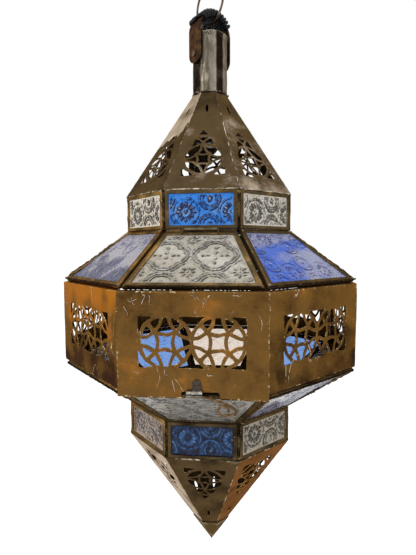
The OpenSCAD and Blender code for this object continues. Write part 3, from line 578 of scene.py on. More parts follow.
def pane(shape, matrix, wb, wt, h, flange, pattern, bold, seed):
    """A pane in its channel. Its outer face is a grid whose height is the pattern's over the part that the
    frame leaves open, fading out at the frame, with four sides and one flat inner face. Its steep slopes
    carry painted shade, and its height is kept for painted highlights on the crests."""
    inset = FOLD_T + FIT
    y = spaced(inset, h - inset, PANE_STEP)[None, :]
    s = spaced(-1, 1, PANE_STEP / side_x(wb, wt, h, inset, h * 0.3))[:, None]
    x = s * side_x(wb, wt, h, inset, y)
    y = y + 0 * x
    rim = np.minimum(np.minimum(y - flange, h - flange - y), side_x(wb, wt, h, flange, y) - np.abs(x))
    grain = 0.08 * waves(seed, x, y, 4.0, 20) + 0.07 * waves(seed + 1, x, y, 1.9, 20)
    top, low = -(CHANNEL_T - GLASS_T) / 2, -(CHANNEL_T + GLASS_T) / 2
    raised = pattern(x, y) * (1 + 0.2 * waves(seed + 2, x, y, 15.0))
    z = top + np.clip(rim / FADE, 0, 1) * (RELIEF * raised + grain)
    outer = np.stack([x, y, z], -1)
    up = np.gradient(z, axis=1) / np.gradient(y, axis=1)
    along = np.gradient(z, axis=0) / np.gradient(x, axis=0)
    # Painted shade: steep slopes take the line colour, the more where they face down and to the right, away
    # from a light at the upper left
    slope_shade = np.hypot(up, along) * 0.7 + 0.5 * np.maximum(0, up * 0.8 - along * 0.6)
    slope_shade = bold * slope_shade * (rim > FADE)
    shape.grid(outer, matrix=matrix, wear=slope_shade, tone=raised)
    index = np.arange(x.size).reshape(x.shape)
    loop = np.concatenate([index[:-1, 0], index[-1, :-1], index[:0:-1, -1], index[0, :0:-1]])
    edge = outer.reshape(-1, 3)[loop]
    under = edge * (1, 1, 0) + (0, 0, low)
    m = len(loop)
    here, after = np.arange(m), (np.arange(m) + 1) % m
    sides = np.stack([here, here + m, after + m, after], -1)
    shape.add(np.concatenate([edge, under]), [sides], matrix=matrix)
    shape.add(under, [here[::-1]], matrix=matrix)


# How a tier's faces are placed, and their lower and upper half widths, slant height and flange
shoulder = (on_shoulder, FRAME_WB, FRAME_WT, SHOULDER_SLANT, SHOULDER_FLANGE)
door = (on_shoulder, DOOR_WB, DOOR_WT, DOOR_LEN, SHOULDER_FLANGE)
band = (on_band, BAND_W, BAND_W, BAND_H, BAND_FLANGE)
# How strongly each tier's panes take painted shade on their steep slopes
FAINT, FIRM, BOLD = 1.2, 1.8, 2.0


def glaze(name, finish, ks, tier, below, bold, *replaces):
    """The panes of the faces ks of one tier. bold strengthens the line colour painted on the steep sides of
    the pattern: painted shade, and painted light where the line colour is paler than the glass.
    """
    shape = Shape()
    place, *sizes = tier
    slot = "blue_glass" if finish.startswith("blue") else "clear_glass"
    pattern = rosettes if tier is band or slot == "blue_glass" else medallions
    for k in ks:
        pane(shape, place(k, below), *sizes, pattern, bold, 100 * k + below)
    shape.piece(name, "door" if tier is door else "lantern", slot, *replaces, finish=finish)


for row in (
        ("upper_band_blue_glass_front", "blue_glass_vivid", (0,), band, False, FIRM, "upper_band_blue_panes"),
        ("upper_band_blue_glass", "blue_glass", (2, 4, 6), band, False, BOLD),
        ("upper_band_clear_glass", "clear_glass_cream", (1, 3, 5, 7), band, False, BOLD,
         "upper_band_clear_panes"),
        ("upper_blue_glass_left", "blue_glass_film", (7,), shoulder, False, FAINT, "upper_blue_panes"),
        ("upper_blue_glass", "blue_glass", (1, 3, 5), shoulder, False, FAINT),
        ("upper_clear_glass", "clear_glass", (2, 4, 6), shoulder, False, FAINT, "upper_clear_panes"),
        ("door_glass", "clear_glass_satin", (0,), door, False, FAINT, "door_pane"),
        ("lower_blue_glass_back", "blue_glass_back", (3, 5), shoulder, True, FAINT, "lower_blue_panes"),
        ("lower_blue_glass", "blue_glass", (7,), shoulder, True, FAINT),
        ("lower_blue_glass_right", "blue_glass_pale_strip", (1,), shoulder, True, FAINT),
        ("lower_clear_glass_back", "clear_glass_back", (4,), shoulder, True, FAINT, "lower_clear_panes"),
        ("lower_clear_glass", "clear_glass_satin", (0, 2, 6), shoulder, True, FAINT),
        ("lower_band_blue_glass", "blue_glass_deep", (0, 2, 4, 6), band, True, FAINT,
         "lower_band_blue_panes"),
        ("lower_band_clear_glass", "clear_glass", (1, 3, 5), band, True, BOLD, "lower_band_clear_panes"),
        ("lower_band_smoky_glass", "clear_glass_smoky", (7,), band, True, BOLD)):
    glaze(*row)


# Folded channel frames


def rounded(corners, radii):
    """A closed outline whose corners are small curves: each corner's two tangent points and the middle of
    the quadratic curve between them."""
    corners = np.array(corners, float)
    out = []
    for i, r in enumerate(radii):
        p, q, n = corners[i], corners[i - 1], corners[(i + 1) % len(corners)]
        a, b = p + (q - p) / np.linalg.norm(q - p) * r, p + (n - p) / np.linalg.norm(n - p) * r
        t = np.linspace(0, 1, 3)[:, None]
        out.append((1 - t) ** 2 * a + 2 * t * (1 - t) * p + t ** 2 * b)
    return np.concatenate(out)


SIDE_STEPS = 9


def channel(shape, matrix, wb, wt, h, flange, tone, seed):
    """A U of folded sheet carried round a trapezoid. Each point of its outline keeps its own inset, so the
    corners are mitred. The face is slightly uneven, and the outer edge and the lip are worn."""
    t, deep = FOLD_T, CHANNEL_T
    outline = rounded([(0, 0), (flange, 0), (flange, -t), (t, -t), (t, t - deep), (flange, t - deep),
                       (flange, -deep), (0, -deep)], [0.7, 0.35, 0.3, 0.2, 0.2, 0.3, 0.35, 0.7])
    d, z = outline[:, 0], outline[:, 1]
    low, high = side_x(wb, wt, h, d, d), side_x(wb, wt, h, d, h - d)
    loop = np.stack([np.stack([-low, d], -1), np.stack([low, d], -1), np.stack([high, h - d], -1),
                     np.stack([-high, h - d], -1)])
    share = np.linspace(0, 1, SIDE_STEPS, endpoint=False)[None, :, None, None]
    path = (loop[:, None] * (1 - share) + np.roll(loop, -1, axis=0)[:, None] * share).reshape(-1, len(d), 2)
    x, y = path[..., 0], path[..., 1]
    top = np.clip(1 + z / t, 0, 1)
    lift = top * (0.14 * waves(seed, x, y, 18.0) - 0.1 + 0.12 * np.sin(np.clip(d / flange, 0, 1) * math.pi))
    x = x - np.sign(x) * 0.06 * (1 + waves(seed + 1, y, x, 22.0)) * (np.abs(x) > wt * 0.6)
    rim = np.maximum(ridge(d, 0.5) * 0.36, ridge(d - flange, 0.5) * 0.26) * top
    wear = rim * (1 + 0.6 * waves(seed + 2, x, y, 9.0))
    level = tone + 0.16 * waves(seed + 3, x, y, 24.0)
    shape.grid(np.stack([x, y, z + lift], -1), close_u=True, close_v=True, wear=wear, tone=level,
               matrix=matrix)


# Painted light and shade: each face's frame tone follows how the light falls on that face, lightest on the
# left and front left
FRAME_TONES = (0.46, 0.44, 0.4, 0.4, 0.42, 0.5, 0.62, 0.72)


def fold_frames(name, tier, ks, below, lighter, seed, node, body="lantern"):
    """The channel frames of the faces ks of one tier, as one piece. lighter shifts the whole tier's tone;
    the lower tiers are darker, as painted shade.
    """
    shape = Shape()
    place, *sizes = tier
    for k in ks:
        channel(shape, place(k, below), *sizes, FRAME_TONES[k] + lighter, seed + k)
    shape.piece(name, body, "frame_metal", node)


for k, side in enumerate(FACES):
    if k:
        fold_frames("frame_up_" + side, shoulder, (k,), False, 0.0, 300, "upper_frame_" + side)
    fold_frames("frame_low_" + side, shoulder, (k,), True, -0.12, 320, "lower_frame_" + side)
fold_frames("band_channels_up", band, range(SIDES), False, 0.0, 340, "upper_band_frames")
fold_frames("band_channels_low", band, range(SIDES), True, -0.1, 348, "lower_band_frames")
fold_frames("door_channel", door, (0,), False, 0.09, 360, "door_frame", "door")


# Pierced sheet


def pierce(shape, front, back, metal, tone=0.5, wear=0.0, matrix=None):
    """Sheet between two grids, cut along the zero line of a field that is positive in the metal. Every cell
    keeps the polygon of its kept corners and of the points where the zero line crosses its sides, and walls
    join the two faces along every open edge. The rims are rounded off and worn."""
    keep = metal > 0
    cut_u, cut_v = keep[:-1] != keep[1:], keep[:, :-1] != keep[:, 1:]
    corner = np.cumsum(keep).reshape(keep.shape) - 1
    cross_u = np.cumsum(cut_u).reshape(cut_u.shape) - 1 + keep.sum()
    cross_v = np.cumsum(cut_v).reshape(cut_v.shape) - 1 + keep.sum() + cut_u.sum()

    def gather(values):
        """The values at the kept corners, then at the crossings, found by linear interpolation."""
        out = [values[keep]]
        for cut, a, b, m, n in ((cut_u, values[:-1], values[1:], metal[:-1], metal[1:]),
                                (cut_v, values[:, :-1], values[:, 1:], metal[:, :-1], metal[:, 1:])):
            share = m[cut] / (m[cut] - n[cut])
            share = share.reshape(-1, *[1] * (values.ndim - 2))
            out.append(a[cut] * (1 - share) + b[cut] * share)
        return np.concatenate(out)

    ring = np.stack([corner[:-1, :-1], cross_u[:, :-1], corner[1:, :-1], cross_v[1:], corner[1:, 1:],
                     cross_u[:, 1:], corner[:-1, 1:], cross_v[:-1]], -1).reshape(-1, 8)
    used = np.stack([keep[:-1, :-1], cut_u[:, :-1], keep[1:, :-1], cut_v[1:], keep[1:, 1:], cut_u[:, 1:],
                     keep[:-1, 1:], cut_v[:-1]], -1).reshape(-1, 8)
    cells = [ring[rows][used[rows]].reshape(-1, c) for c in (3, 4, 5, 6) for rows in [used.sum(1) == c]]
    cells = [c for c in cells if len(c)]
    count = int(keep.sum() + cut_u.sum() + cut_v.sum())
    start = np.concatenate([c.ravel() for c in cells])
    end = np.concatenate([np.roll(c, -1, axis=1).ravel() for c in cells])
    open_edge = ~np.isin(start * count + end, end * count + start)
    a, b = start[open_edge], end[open_edge]
    near = gather(np.maximum(metal, 0))[:, None]
    near[keep.sum():] = 0
    top, low = gather(front), gather(back)
    upper = top + (low - top) * 0.32 * np.exp(-near / 0.45)
    lower = low + (top - low) * 0.25 * np.exp(-near / 0.45)
    worn = np.maximum(gather(np.broadcast_to(wear, metal.shape)), 0.36 * np.exp(-near[:, 0] / 0.8))
    level = gather(np.broadcast_to(tone, metal.shape))
    faces = cells + [c[:, ::-1] + count for c in cells] + [np.stack([b, a, a + count, b + count], -1)]
    shape.add(np.concatenate([upper, lower]), faces, wear=np.tile(worn, 2), tone=np.tile(level, 2),
              matrix=matrix)


def disc(x, y, r):
    return r - np.hypot(x, y)


def hoop(x, y, r, bar):
    return bar / 2 - np.abs(np.hypot(x, y) - r)


def convex(x, y, points):
    """How deep a place lies in a convex outline whose corners run anticlockwise: the least depth in any
    side."""
    depth = np.inf
    for (ax, ay), (bx, by) in zip(points, points[1:] + points[:1]):
        twice_area = (bx - ax) * (y - ay) - (by - ay) * (x - ax)
        depth = np.minimum(depth, twice_area / math.hypot(bx - ax, by - ay))
    return depth


def interlace(x, y, size, bar, shares):
    """A round of bars. Arcs struck from its four sides and its four corners cross inside it."""
    half = size / 2
    sides = corners = -np.inf
    for cx, cy in ((1, 0), (0, 1), (-1, 0), (0, -1)):
        sides = np.maximum(sides, hoop(x - half * cx, y - half * cy, half * shares[0], bar))
        corners = np.maximum(corners, hoop(x - half * (cx - cy), y - half * (cx + cy), half * shares[1], bar))
    sides = np.minimum(sides, disc(x, y, half * shares[2]))
    return np.maximum(hoop(x, y, half, bar), np.minimum(disc(x, y, half), np.maximum(sides, corners)))


def sawn(seed, x, y):
    """The hand-sawn line strays from the drawn one by a few tenths."""
    return x + 0.28 * waves(seed, x, y, 11.0), y + 0.28 * waves(seed + 50, x, y, 11.0)


def belt_metal(x, y, seed):
    x, y = sawn(seed, x, y)
    window = np.minimum(BELT_CELL + BELT_BAR / 4 - np.abs(x), BELT_CELL / 2 - BELT_BAR / 4 - np.abs(y))
    cells = np.maximum(interlace(x - BELT_CELL / 2, y, BELT_CELL, BELT_BAR, BELT_SHARES),
                       interlace(x + BELT_CELL / 2, y, BELT_CELL, BELT_BAR, BELT_SHARES))
    return np.maximum(-window, cells)


SPIRE = [(-0.58, 0.9), (0.58, 0.9), (0.47, 1.3), (0.29, 1.5), (-0.29, 1.5), (-0.47, 1.3)]
FOOT = [(0.55, -1.06), (1.1, -1.06), (1.1, -0.6), (0.55, -0.6)]
SLIT_H, SLIT_W = 12.0, 3.0
ASKEW = math.radians(3)


def cone_metal(x, y, seed):
    """A round with a spire over it and two feet under it, all a little askew, and a spike and a slit above.
    The lengths inside are shares of half the round."""
    x, y = sawn(seed, x, y)
    r = (SLIT_H ** 2 + SLIT_W ** 2) / (4 * SLIT_W)
    aside, up = r - SLIT_W / 2, y - SLIT_Y
    slit = np.minimum(disc(x - aside, up, r), disc(x + aside, up, r))
    half, bar = CONE_CELL / 2, CONE_BAR / (CONE_CELL / 2)
    c, s, up = math.cos(ASKEW), math.sin(ASKEW), y - ROUND_Y
    u, v = (x * c + up * s) / half, (up * c - x * s) / half
    arcs = np.maximum(hoop(u - 0.48, v - 0.98, 0.48, bar), hoop(u + 0.48, v - 0.98, 0.48, bar))
    bars = np.maximum(interlace(u, v, 2.0, bar, CONE_SHARES), np.minimum(arcs, -disc(u, v, 1)))
    round_ = np.minimum(np.maximum(disc(u, v, 1), convex(u, v, SPIRE)), -bars)
    feet = np.minimum(convex(np.abs(u), v, FOOT), -disc(u, v, 1.12))
    spike = np.minimum(0.27 - np.abs(u), np.minimum(v - 1.7, 2.16 - v))
    for side in (-1, 1):
        spike = np.minimum(spike, -disc(u - 0.46 * side, v - 2.16, 0.46))
    return -np.maximum(np.maximum(np.maximum(round_, feet), spike) * half, slit)


# The finely divided part of a belt panel, and the steps of its grid
WINDOW_W, WINDOW_H = 41.0, 21.0
FINE, COARSE = 0.66, 2.0


def bent(foot, top, depth, fold_foot):
    """The sheet's line in Y and Z, outside and inside: up the face, with a fold at the top and perhaps at
    the foot."""
    r, t = 1.6, SHEET_T
    low, high = BELT_H / 2 - WINDOW_H, BELT_H / 2 + WINDOW_H
    a = np.linspace(0, math.pi / 2, 5)
    face_y = np.concatenate([spaced(foot + r, foot + 8, COARSE)[:-1], spaced(foot + 8, low, COARSE)[:-1],
                             spaced(low, high, FINE)[:-1], spaced(high, top - r, COARSE)])
    arc = lambda q, y0, way: (y0 - way * (r - q * np.sin(a)), -r + q * np.cos(a))
    rows = [[face_y, face_y, 0 * face_y, 0 * face_y - t]]
    (oy, oz), (iy, iz) = arc(r, top, 1), arc(r - t, top, 1)
    rows.append([oy[1:], iy[1:], oz[1:], iz[1:]])
    z = -spaced(r, depth, 1.5)[1:]
    rows.append([top + 0 * z, top - t + 0 * z, z, z])
    if fold_foot:
        (oy, oz), (iy, iz) = arc(r, foot, -1), arc(r - t, foot, -1)
        rows.insert(0, [oy[:0:-1], iy[:0:-1], oz[:0:-1], iz[:0:-1]])
        rows.insert(0, [foot + 0 * z[::-1], foot + t + 0 * z, z[::-1], z[::-1]])
    else:
        rows.insert(0, [np.array([foot])] * 2 + [np.array([0.0]), np.array([-t])])
    return np.concatenate([np.array(r) for r in rows], axis=1)


def panel_wear(x, y, seed):
    """The outer edges are rubbed bright in broken lengths."""
    edge = np.minimum(np.minimum(y - y.min(), BELT_H - y), BELT_W + 0.6 - np.abs(x))
    return 0.8 * ridge(np.maximum(edge, 0), 1.2) * np.clip(0.6 + 0.5 * waves(seed + 7, x, y, 12.0), 0, 1)


def belt_sheet(shape, matrix, foot, depth, width, lift, tone, seed, fold_foot=True, fold_in=0.0):
    """A belt panel. Its sides draw in with depth along the folds, by fold_in more on the door, and its face
    is slightly dented. The door's has no fold at its foot, and a gap there for the latch."""
    yo, yi, zo, zi = bent(foot, BELT_H, depth, fold_foot)
    edge = np.array([0.0, 0.5, 1.2, 2.4])
    s = np.concatenate([edge - width, spaced(5 - width, -WINDOW_W - 0.5, COARSE),
                        spaced(-WINDOW_W, WINDOW_W, FINE), spaced(WINDOW_W + 0.5, width - 5, COARSE),
                        width - edge[::-1]])[:, None]
    deep = np.maximum(0, -zo - SHEET_T)
    x = s * (1 - (deep * seam_share(UPRIGHT) + fold_in * (deep > 0.2)) / width)
    y = yo + 0 * x
    field = belt_metal(x, y - BELT_H / 2, seed)
    on_face = np.clip(1 + zo / 1.5, 0, 1)
    field = np.where(on_face > 0.9, field, 5.0)
    if not fold_foot:
        gap = np.minimum(np.minimum(x - LATCH_GAP[0], LATCH_GAP[1] - x), DOOR_FOOT - y)
        field = np.minimum(field, -gap)
    dent = on_face * (0.22 * waves(seed + 1, x, y, 34.0) + 0.05 * waves(seed + 2, x, y, 7.0) - 0.3)
    outer = np.stack([x, y, zo + dent + lift], -1)
    inner = np.stack([x, yi + 0 * x, zi + dent + lift], -1)
    worn = panel_wear(x, y, seed) * (zo > -0.6)
    pierce(shape, outer, inner, field, tone(x, y), worn, matrix)


def even(level, slope, seed):
    """A tone that changes up the panel by slope, with broad clouds."""
    return lambda x, y: level + slope * (y / BELT_H - 0.5) + 0.13 * waves(seed + 11, x, y, 26.0)


# Each belt panel's tone and its rise towards the top: painted light, lighter on the left and front left and
# brightest at the top of the front-left panel
BELT_TONES = (None, (0.32, 0.3), (0.35, 0.1), (0.4, 0.1), (0.42, 0.1), (0.4, 0.1), (0.6, 0.4), (0.5, 1.0))
for k in range(1, SIDES):
    shape = Shape()
    belt_sheet(shape, on_belt(k), 0.0, RETURN_W, BELT_W, 0.0, even(*BELT_TONES[k], 10 * k), 400 + 10 * k)
    shape.piece("belt_sheet_" + FACES[k], "lantern", "belt_metal", "belt_panel_" + FACES[k])


def door_tone(x, y):
    """The door's sheet: brighter round the window and low in the middle, and darker in both upper corners
    and left of the middle at the top."""
    level = 0.47 + 0.08 * ridge(np.hypot(x / 1.6, y - 44), 26) + 0.05 * ridge(np.hypot(x / 2.5, y - 10), 16)
    level = level - 0.22 * ridge(np.hypot(x + 46, y - 78), 24) - 0.16 * ridge(np.hypot(x - 46, y - 74), 22)
    return level - 0.1 * ridge(np.hypot(x + 12, y - 74), 9) + 0.09 * waves(17, x, y, 24.0)


shape = Shape()
DOOR_LIFT = DOOR_PROUD + SHEET_T
belt_sheet(shape, on_belt(0), DOOR_LOW, RETURN_W + DOOR_LIFT, half_side(BELT_AP), DOOR_LIFT, door_tone, 395,
           False, half_side(BELT_AP) - BELT_W + 0.4)
shape.piece("door_sheet", "door", "belt_metal", "door_panel", "door_hems")

GORE_IN = (SHEET_T * seam_share(CONE_TILT) + FIT / 2) * math.hypot(1, half_side(BAND_AP) / CONE_SLANT)


def gore(shape, matrix, reach, level, seed):
    """A cone's face up to the given distance along its slope, pierced, with a slightly uneven surface."""
    half, fine, coarse = CONE_CELL / 2, 0.7, 2.5
    low, high = ROUND_Y - 1.1 * half, ROUND_Y + 2.2 * half
    slit_low, slit_high = SLIT_Y - SLIT_H / 2 - 1, SLIT_Y + SLIT_H / 2 + 1
    y = np.concatenate([[0, 0.5, 1.4], spaced(3, low - 1, 2.0), spaced(low, high, fine),
                        spaced(high + 2, slit_low - 1, coarse), spaced(slit_low, slit_high, fine),
                        spaced(slit_high + 2, reach - 2, coarse), [reach - 0.6, reach]])
    wide = 21.5 / (half_side(BAND_AP) * (1 - ROUND_SHARE) - GORE_IN)
    s = np.concatenate([[-1, -0.985, -0.96], spaced(-0.92, -wide - 0.03, 0.07),
                        spaced(-wide, wide, 2 * wide / 60), spaced(wide + 0.03, 0.92, 0.07),
                        [0.96, 0.985, 1]])[:, None]
    y = y[y <= reach][None, :]
    x = s * (half_side(BAND_AP) * (1 - y / CONE_SLANT) - GORE_IN)
    y = y + 0 * x
    lift = 0.16 * waves(seed + 1, x, y, 26.0) * np.clip((1 - np.abs(s)) * 6, 0, 1)
    front = np.stack([x, y, lift], -1)
    broken = np.clip(0.5 + 0.7 * waves(seed + 3, x, y, 14.0), 0, 1)
    rubbed = 0.2 * ridge((1 - np.abs(s)) * x.max(), 1.6) * broken
    pierce(shape, front, front - (0, 0, SHEET_T), cone_metal(x, y, seed), level(x, y), rubbed, matrix)


def gore_tone(level, seed, pale, fall):
    """A cone face's tone. pale lifts all that lies above a ragged line across the face, a painted reflection
    of the light, and fall darkens it towards the tip."""

    def tone(x, y):
        line = 62 + 0.5 * x + 9 * waves(seed, x, y, 30.0) + 3 * waves(seed + 1, x, y, 8.0)
        fade = fall * (0.3 - y / CONE_SLANT)
        return level + fade + pale * np.clip((y - line) / 3, 0, 1) + 0.1 * waves(seed + 2, x, y, 30.0)

    return tone


# Each cone face's tone and pale share: painted light and a painted reflection, lightest on the left and front
# left
TOP_TONES = ((0.46, 0), (0.56, 0), (0.45, 0), (0.4, 0), (0.4, 0), (0.42, 0), (0.6, 0.2), (0.34, 0.65))
LOW_TONES = ((0.36, 0), (0.45, 0), (0.5, 0), (0.4, 0), (0.4, 0), (0.42, 0), (0.5, 0.1), (0.8, 0))
TOP_REACH = CONE_SLANT * CONE_CUT / CONE_H
LOW_REACH = CONE_SLANT * (1 - (GORE_IN + 0.3) / half_side(BAND_AP))
for name, below, ks, *replaces in (("top_cone_front", False, (6, 7, 0, 1), "top_cone_gores"),
                                   ("top_cone_back", False, (2, 3, 4, 5)),
                                   ("bottom_cone_front", True, (6, 7, 0), "bottom_cone_gores"),
                                   ("bottom_cone_back", True, (2, 3, 4, 5)),
                                   ("bottom_cone_warm", True, (1,))):
    reach, tones, fall = (LOW_REACH, LOW_TONES, 0.1) if below else (TOP_REACH, TOP_TONES, 0.35)
    shape = Shape()
    for k in ks:
        level, pale = tones[k]
        seed = 500 + 10 * k + below
        gore(shape, on_cone(k, below), reach, gore_tone(level, seed, pale, fall), seed)
    shape.piece(name, "lantern", "cone_metal", *replaces, finish="cone_metal" + "_warm" * ("warm" in name))


# Solder


def sweep(path, radius, count):
    """A round tube along a path: at each point a circle stands square to the path, its start carried along so
    that it doesn't twist. radius is one number or one for each point."""
    t = np.gradient(path, axis=0)
    t /= np.linalg.norm(t, axis=1)[:, None]
    side = np.zeros_like(path)
    first = np.cross(t[0], [0.3, 0.5, 0.8])
    side[0] = first / np.linalg.norm(first)
    for i in range(1, len(path)):
        s = side[i - 1] - t[i] * (side[i - 1] @ t[i])
        side[i] = s / np.linalg.norm(s)
    up = np.cross(t, side)
    a = np.linspace(0, 2 * math.pi, count, endpoint=False)
    ring = side[:, None] * np.cos(a)[None, :, None] + up[:, None] * np.sin(a)[None, :, None]
    return path[:, None] + ring * np.broadcast_to(np.asarray(radius, float), len(path))[:, None, None]


def tube(shape, path, radius, count, **rest):
    shape.grid(sweep(path, radius, count), close_v=True, caps=True, flip=True, **rest)


def bead(shape, a, b, size, seed, uneven, tone):
    """A run of solder between two points. Its thickness and its line wander."""
    a, b = np.array(a, float), np.array(b, float)
    n = max(6, round(np.linalg.norm(b - a) / 1.3))
    t = np.linspace(0, 1, n)
    rng = np.random.default_rng(seed)
    rough = np.convolve(rng.normal(size=n + 2), [0.25, 0.5, 0.25], mode="valid")
    radius = size * np.clip(1 + uneven * rough * 1.4, 0.45, 1.9)
    radius[[0, -1]] *= 0.4
    path = a + (b - a) * t[:, None] + rng.normal(size=(n, 3)) * size * 0.12
    tube(shape, path, radius, 8, tone=tone + 0.25 * np.repeat(rough, 8))


def lump(shape, place, size, seed, tone):
    """A crumb of solder: a ball squeezed unevenly along its three ways."""
    rng = np.random.default_rng(seed)
    a = np.linspace(0.25, math.pi - 0.25, 5)[:, None]
    b = np.linspace(0, 2 * math.pi, 7, endpoint=False)[None, :]
    r = size * (1 + 0.25 * rng.normal(size=(5, 7)).clip(-1, 1))
    ball = np.stack([r * np.sin(a) * np.cos(b), r * np.sin(a) * np.sin(b), r * np.cos(a)], -1)
    shape.grid(ball * rng.uniform(0.7, 1.25, 3) + place, close_v=True, caps=True, tone=tone)


def corner_at(k, apothem, z, below=False):
    """The row-frame point on the corner between face k and the next."""
    a, r = TURN * (k + 0.5) - math.pi / 2, apothem / math.cos(TURN / 2)
    return np.array([r * math.cos(a), r * math.sin(a), 2 * BELT_Z - z if below else z])


def seam(shape, start, end, below, *rest):
    """A bead between two places, each given as a corner, an apothem and a height."""
    bead(shape, corner_at(*start, below), corner_at(*end, below), *rest)


seams, fillets, ridges = Shape(), Shape(), Shape()
BELT_LOW, BELT_TOP = BELT_Z - BELT_H / 2, BELT_Z + BELT_H / 2
for below in (False, True):
    top = CONE_H * 0.9 if below else CONE_CUT
    shrink = 1 - top / CONE_H
    tip = BAND_AP * shrink - 0.5 * (1 - shrink) - 0.25
    for k in range(SIDES):
        # The ridge beads on the front and front-left faces are paler: painted light
        pale = 0.6 if k in (6, 7, 0) else 0.35
        seam(ridges, (k, BAND_AP - 0.5, CONE_Z), (k, tip, CONE_Z + top), below, 0.42, 600 + k, 0.2, pale)
        foot = BAND_AP - 0.35, CONE_Z - 0.3
        seam(ridges if below else seams, (k - 1, *foot), (k, *foot), below, 0.42, 620 + k, 0.4, 0.45)
        foot = SHOULDER_AP + 0.2, SHOULDER_Z + 0.1
        if k:
            seam(fillets, (k - 1, *foot), (k, *foot), below, 0.8, 740 + k, 0.1, 0.0)
        seam(fillets, (k, BAND_AP - 1.9, BAND_Z + 0.6), (k, BAND_AP - 1.9, BAND_Z + BAND_H - 0.4), below,
             1.35, 640 + k, 0.2, 0.2)
        beside_door = k in (0, SIDES - 1)
        if below or not beside_door:
            seam(fillets, (k, SHOULDER_AP - 2.0, SHOULDER_Z + 0.8),
                 (k, BAND_AP - 2.0, SHOULDER_Z + SHOULDER_H - 0.6), below, 1.3, 660 + k, 0.25, 0.2)
        if not below and not beside_door:
            seam(seams, (k, BELT_AP - 1.6, BELT_LOW + 0.8), (k, BELT_AP - 1.6, BELT_TOP - 0.8), below, 0.8,
                 680 + k, 0.4, 0.5)
for k in range(1, SIDES):
    for x, y, size, n in ((-1, 0, 1.1, 5), (1, 0, 0.9, 4), (-1, 1, 0.9, 3), (1, 1, 0.8, 3)):
        for below in (False, True):
            rng = np.random.default_rng(700 + k * 8 + x + 2 * y + 4 * below)
            w, h = (FRAME_WT, SHOULDER_SLANT) if y else (FRAME_WB, 0)
            for i in range(n):
                spot = (x * (w - rng.uniform(0.3, 3.5)), abs(h - rng.uniform(0.4, 3.0)), 0.05)
                spot = move(np.array(spot), on_shoulder(k, below))
                lump(seams, spot, size * rng.uniform(0.3, 0.75), 900 + i, 0.65)
for below in (False, True):
    for k in range(SIDES):
        for apothem, z, size in ((BAND_AP - 1.3, CONE_Z - 0.9, 1.5), (BAND_AP - 1.6, BAND_Z - 0.4, 1.5)):
            lump(fillets, corner_at(k, apothem, z, below), size, 1000 + k, 0.1)
        lump(fillets, corner_at(k, BAND_AP - 3.0, BAND_Z - 1.0, below), 1.7, 1020 + k, 0.1)
foot = np.array([half_side(SHOULDER_AP) - 5.0, -(SHOULDER_AP + 0.2), SHOULDER_Z + 0.1])
door_foot = Shape()
bead(door_foot, foot * (-1, 1, 1), foot, 0.8, 760, 0.1, 0.0)
door_foot.piece("door_foot_fillet", "door", "frame_metal")
ridges.piece("cone_ridges", "lantern", "cone_metal")
fillets.piece("corner_fillets", "lantern", "frame_metal")
seams.piece("solder_seams", "lantern", "solder_tin", finish="solder_bead")


def curl(shape, x, y, turn, long, bend, seed):
    """A thin drip of solder on the door: its heading swings as a sine along its length."""
    n, thin = 22, 0.06
    s = np.linspace(0, 1, n)
    heading = math.radians(turn) + bend * np.sin(s * 5.0 + seed)
    step = long / n
    z = 0 * s + DOOR_LIFT + 0.02 + 0.1 * np.abs(waves(seed, s * 30, 0 * s, 9.0))
    points = np.stack([x + np.cumsum(np.cos(heading)) * step, y + np.cumsum(np.sin(heading)) * step, z], -1)
    radius = 0.2 + 0.1 * waves(seed + 1, s * 30, 0 * s, 7.0)
    radius[[0, -1]] = thin
    points[:, 1] = np.minimum(points[:, 1], BELT_H - 3)
    tube(shape, move(points, on_belt(0)), np.clip(radius, thin, 0.42), 6, tone=0.8)


marks = Shape()
for drip in ((-37, 79, -90, 13, 0.5, 1), (-33, 74, -60, 9, 0.9, 2), (-41, 72, -100, 8, 1.1, 3),
             (-48, 71, 10, 7, 1.4, 4), (0, 78, -75, 9, 0.6, 5), (4, 74, -75, 12, 0.8, 6),
             (9, 72, -90, 7, 1.2, 7), (13, 76, -85, 5, 0.9, 8), (3, 64, -50, 5, 1.5, 9),
             (-20, 18, -60, 7, 1.0, 10), (12, 16, -40, 6, 1.1, 11), (-51, 66, -80, 9, 0.5, 12),
             (50, 60, -85, 12, 0.3, 13), (-44, 14, 20, 6, 1.0, 14), (30, 74, 10, 8, 0.5, 15)):
    curl(marks, *drip)
marks.piece("door_solder_drips", "door", "solder_tin", finish="solder_bead")


# Neck tube

TUBE_T, PIN_HOLE = 0.9, 1.5
PIN_Z = (box("bail_pin")[0][2] + box("bail_pin")[1][2]) / 2
BAIL = np.array([math.cos(math.pi / 4), math.sin(math.pi / 4), 0.0])
ACROSS = np.array([-BAIL[1], BAIL[0], 0.0])


def along_bail(x, y, z):
    """Points given by their place along the bail's pin, across it and up."""
    return x[..., None] * BAIL + y[..., None] * ACROSS + z[..., None] * np.array([0, 0, 1.0])


def on_ring(q, r, z):
    return np.array([r * math.cos(q), r * math.sin(q), z])


# Degrees from the front, anticlockwise seen from above, and the tube's tone there: bands of painted shade
# and painted reflection round the tube
NECK_TONES = ((-180, 0.5), (-120, 0.6), (-60, 0.15), (-30, 0.0), (-24, 0.42), (-8, 0.62), (3, 0.7), (8, 0.85),
              (24, 0.9), (30, 0.02), (50, 0.02), (56, 0.8), (90, 0.6), (180, 0.5))


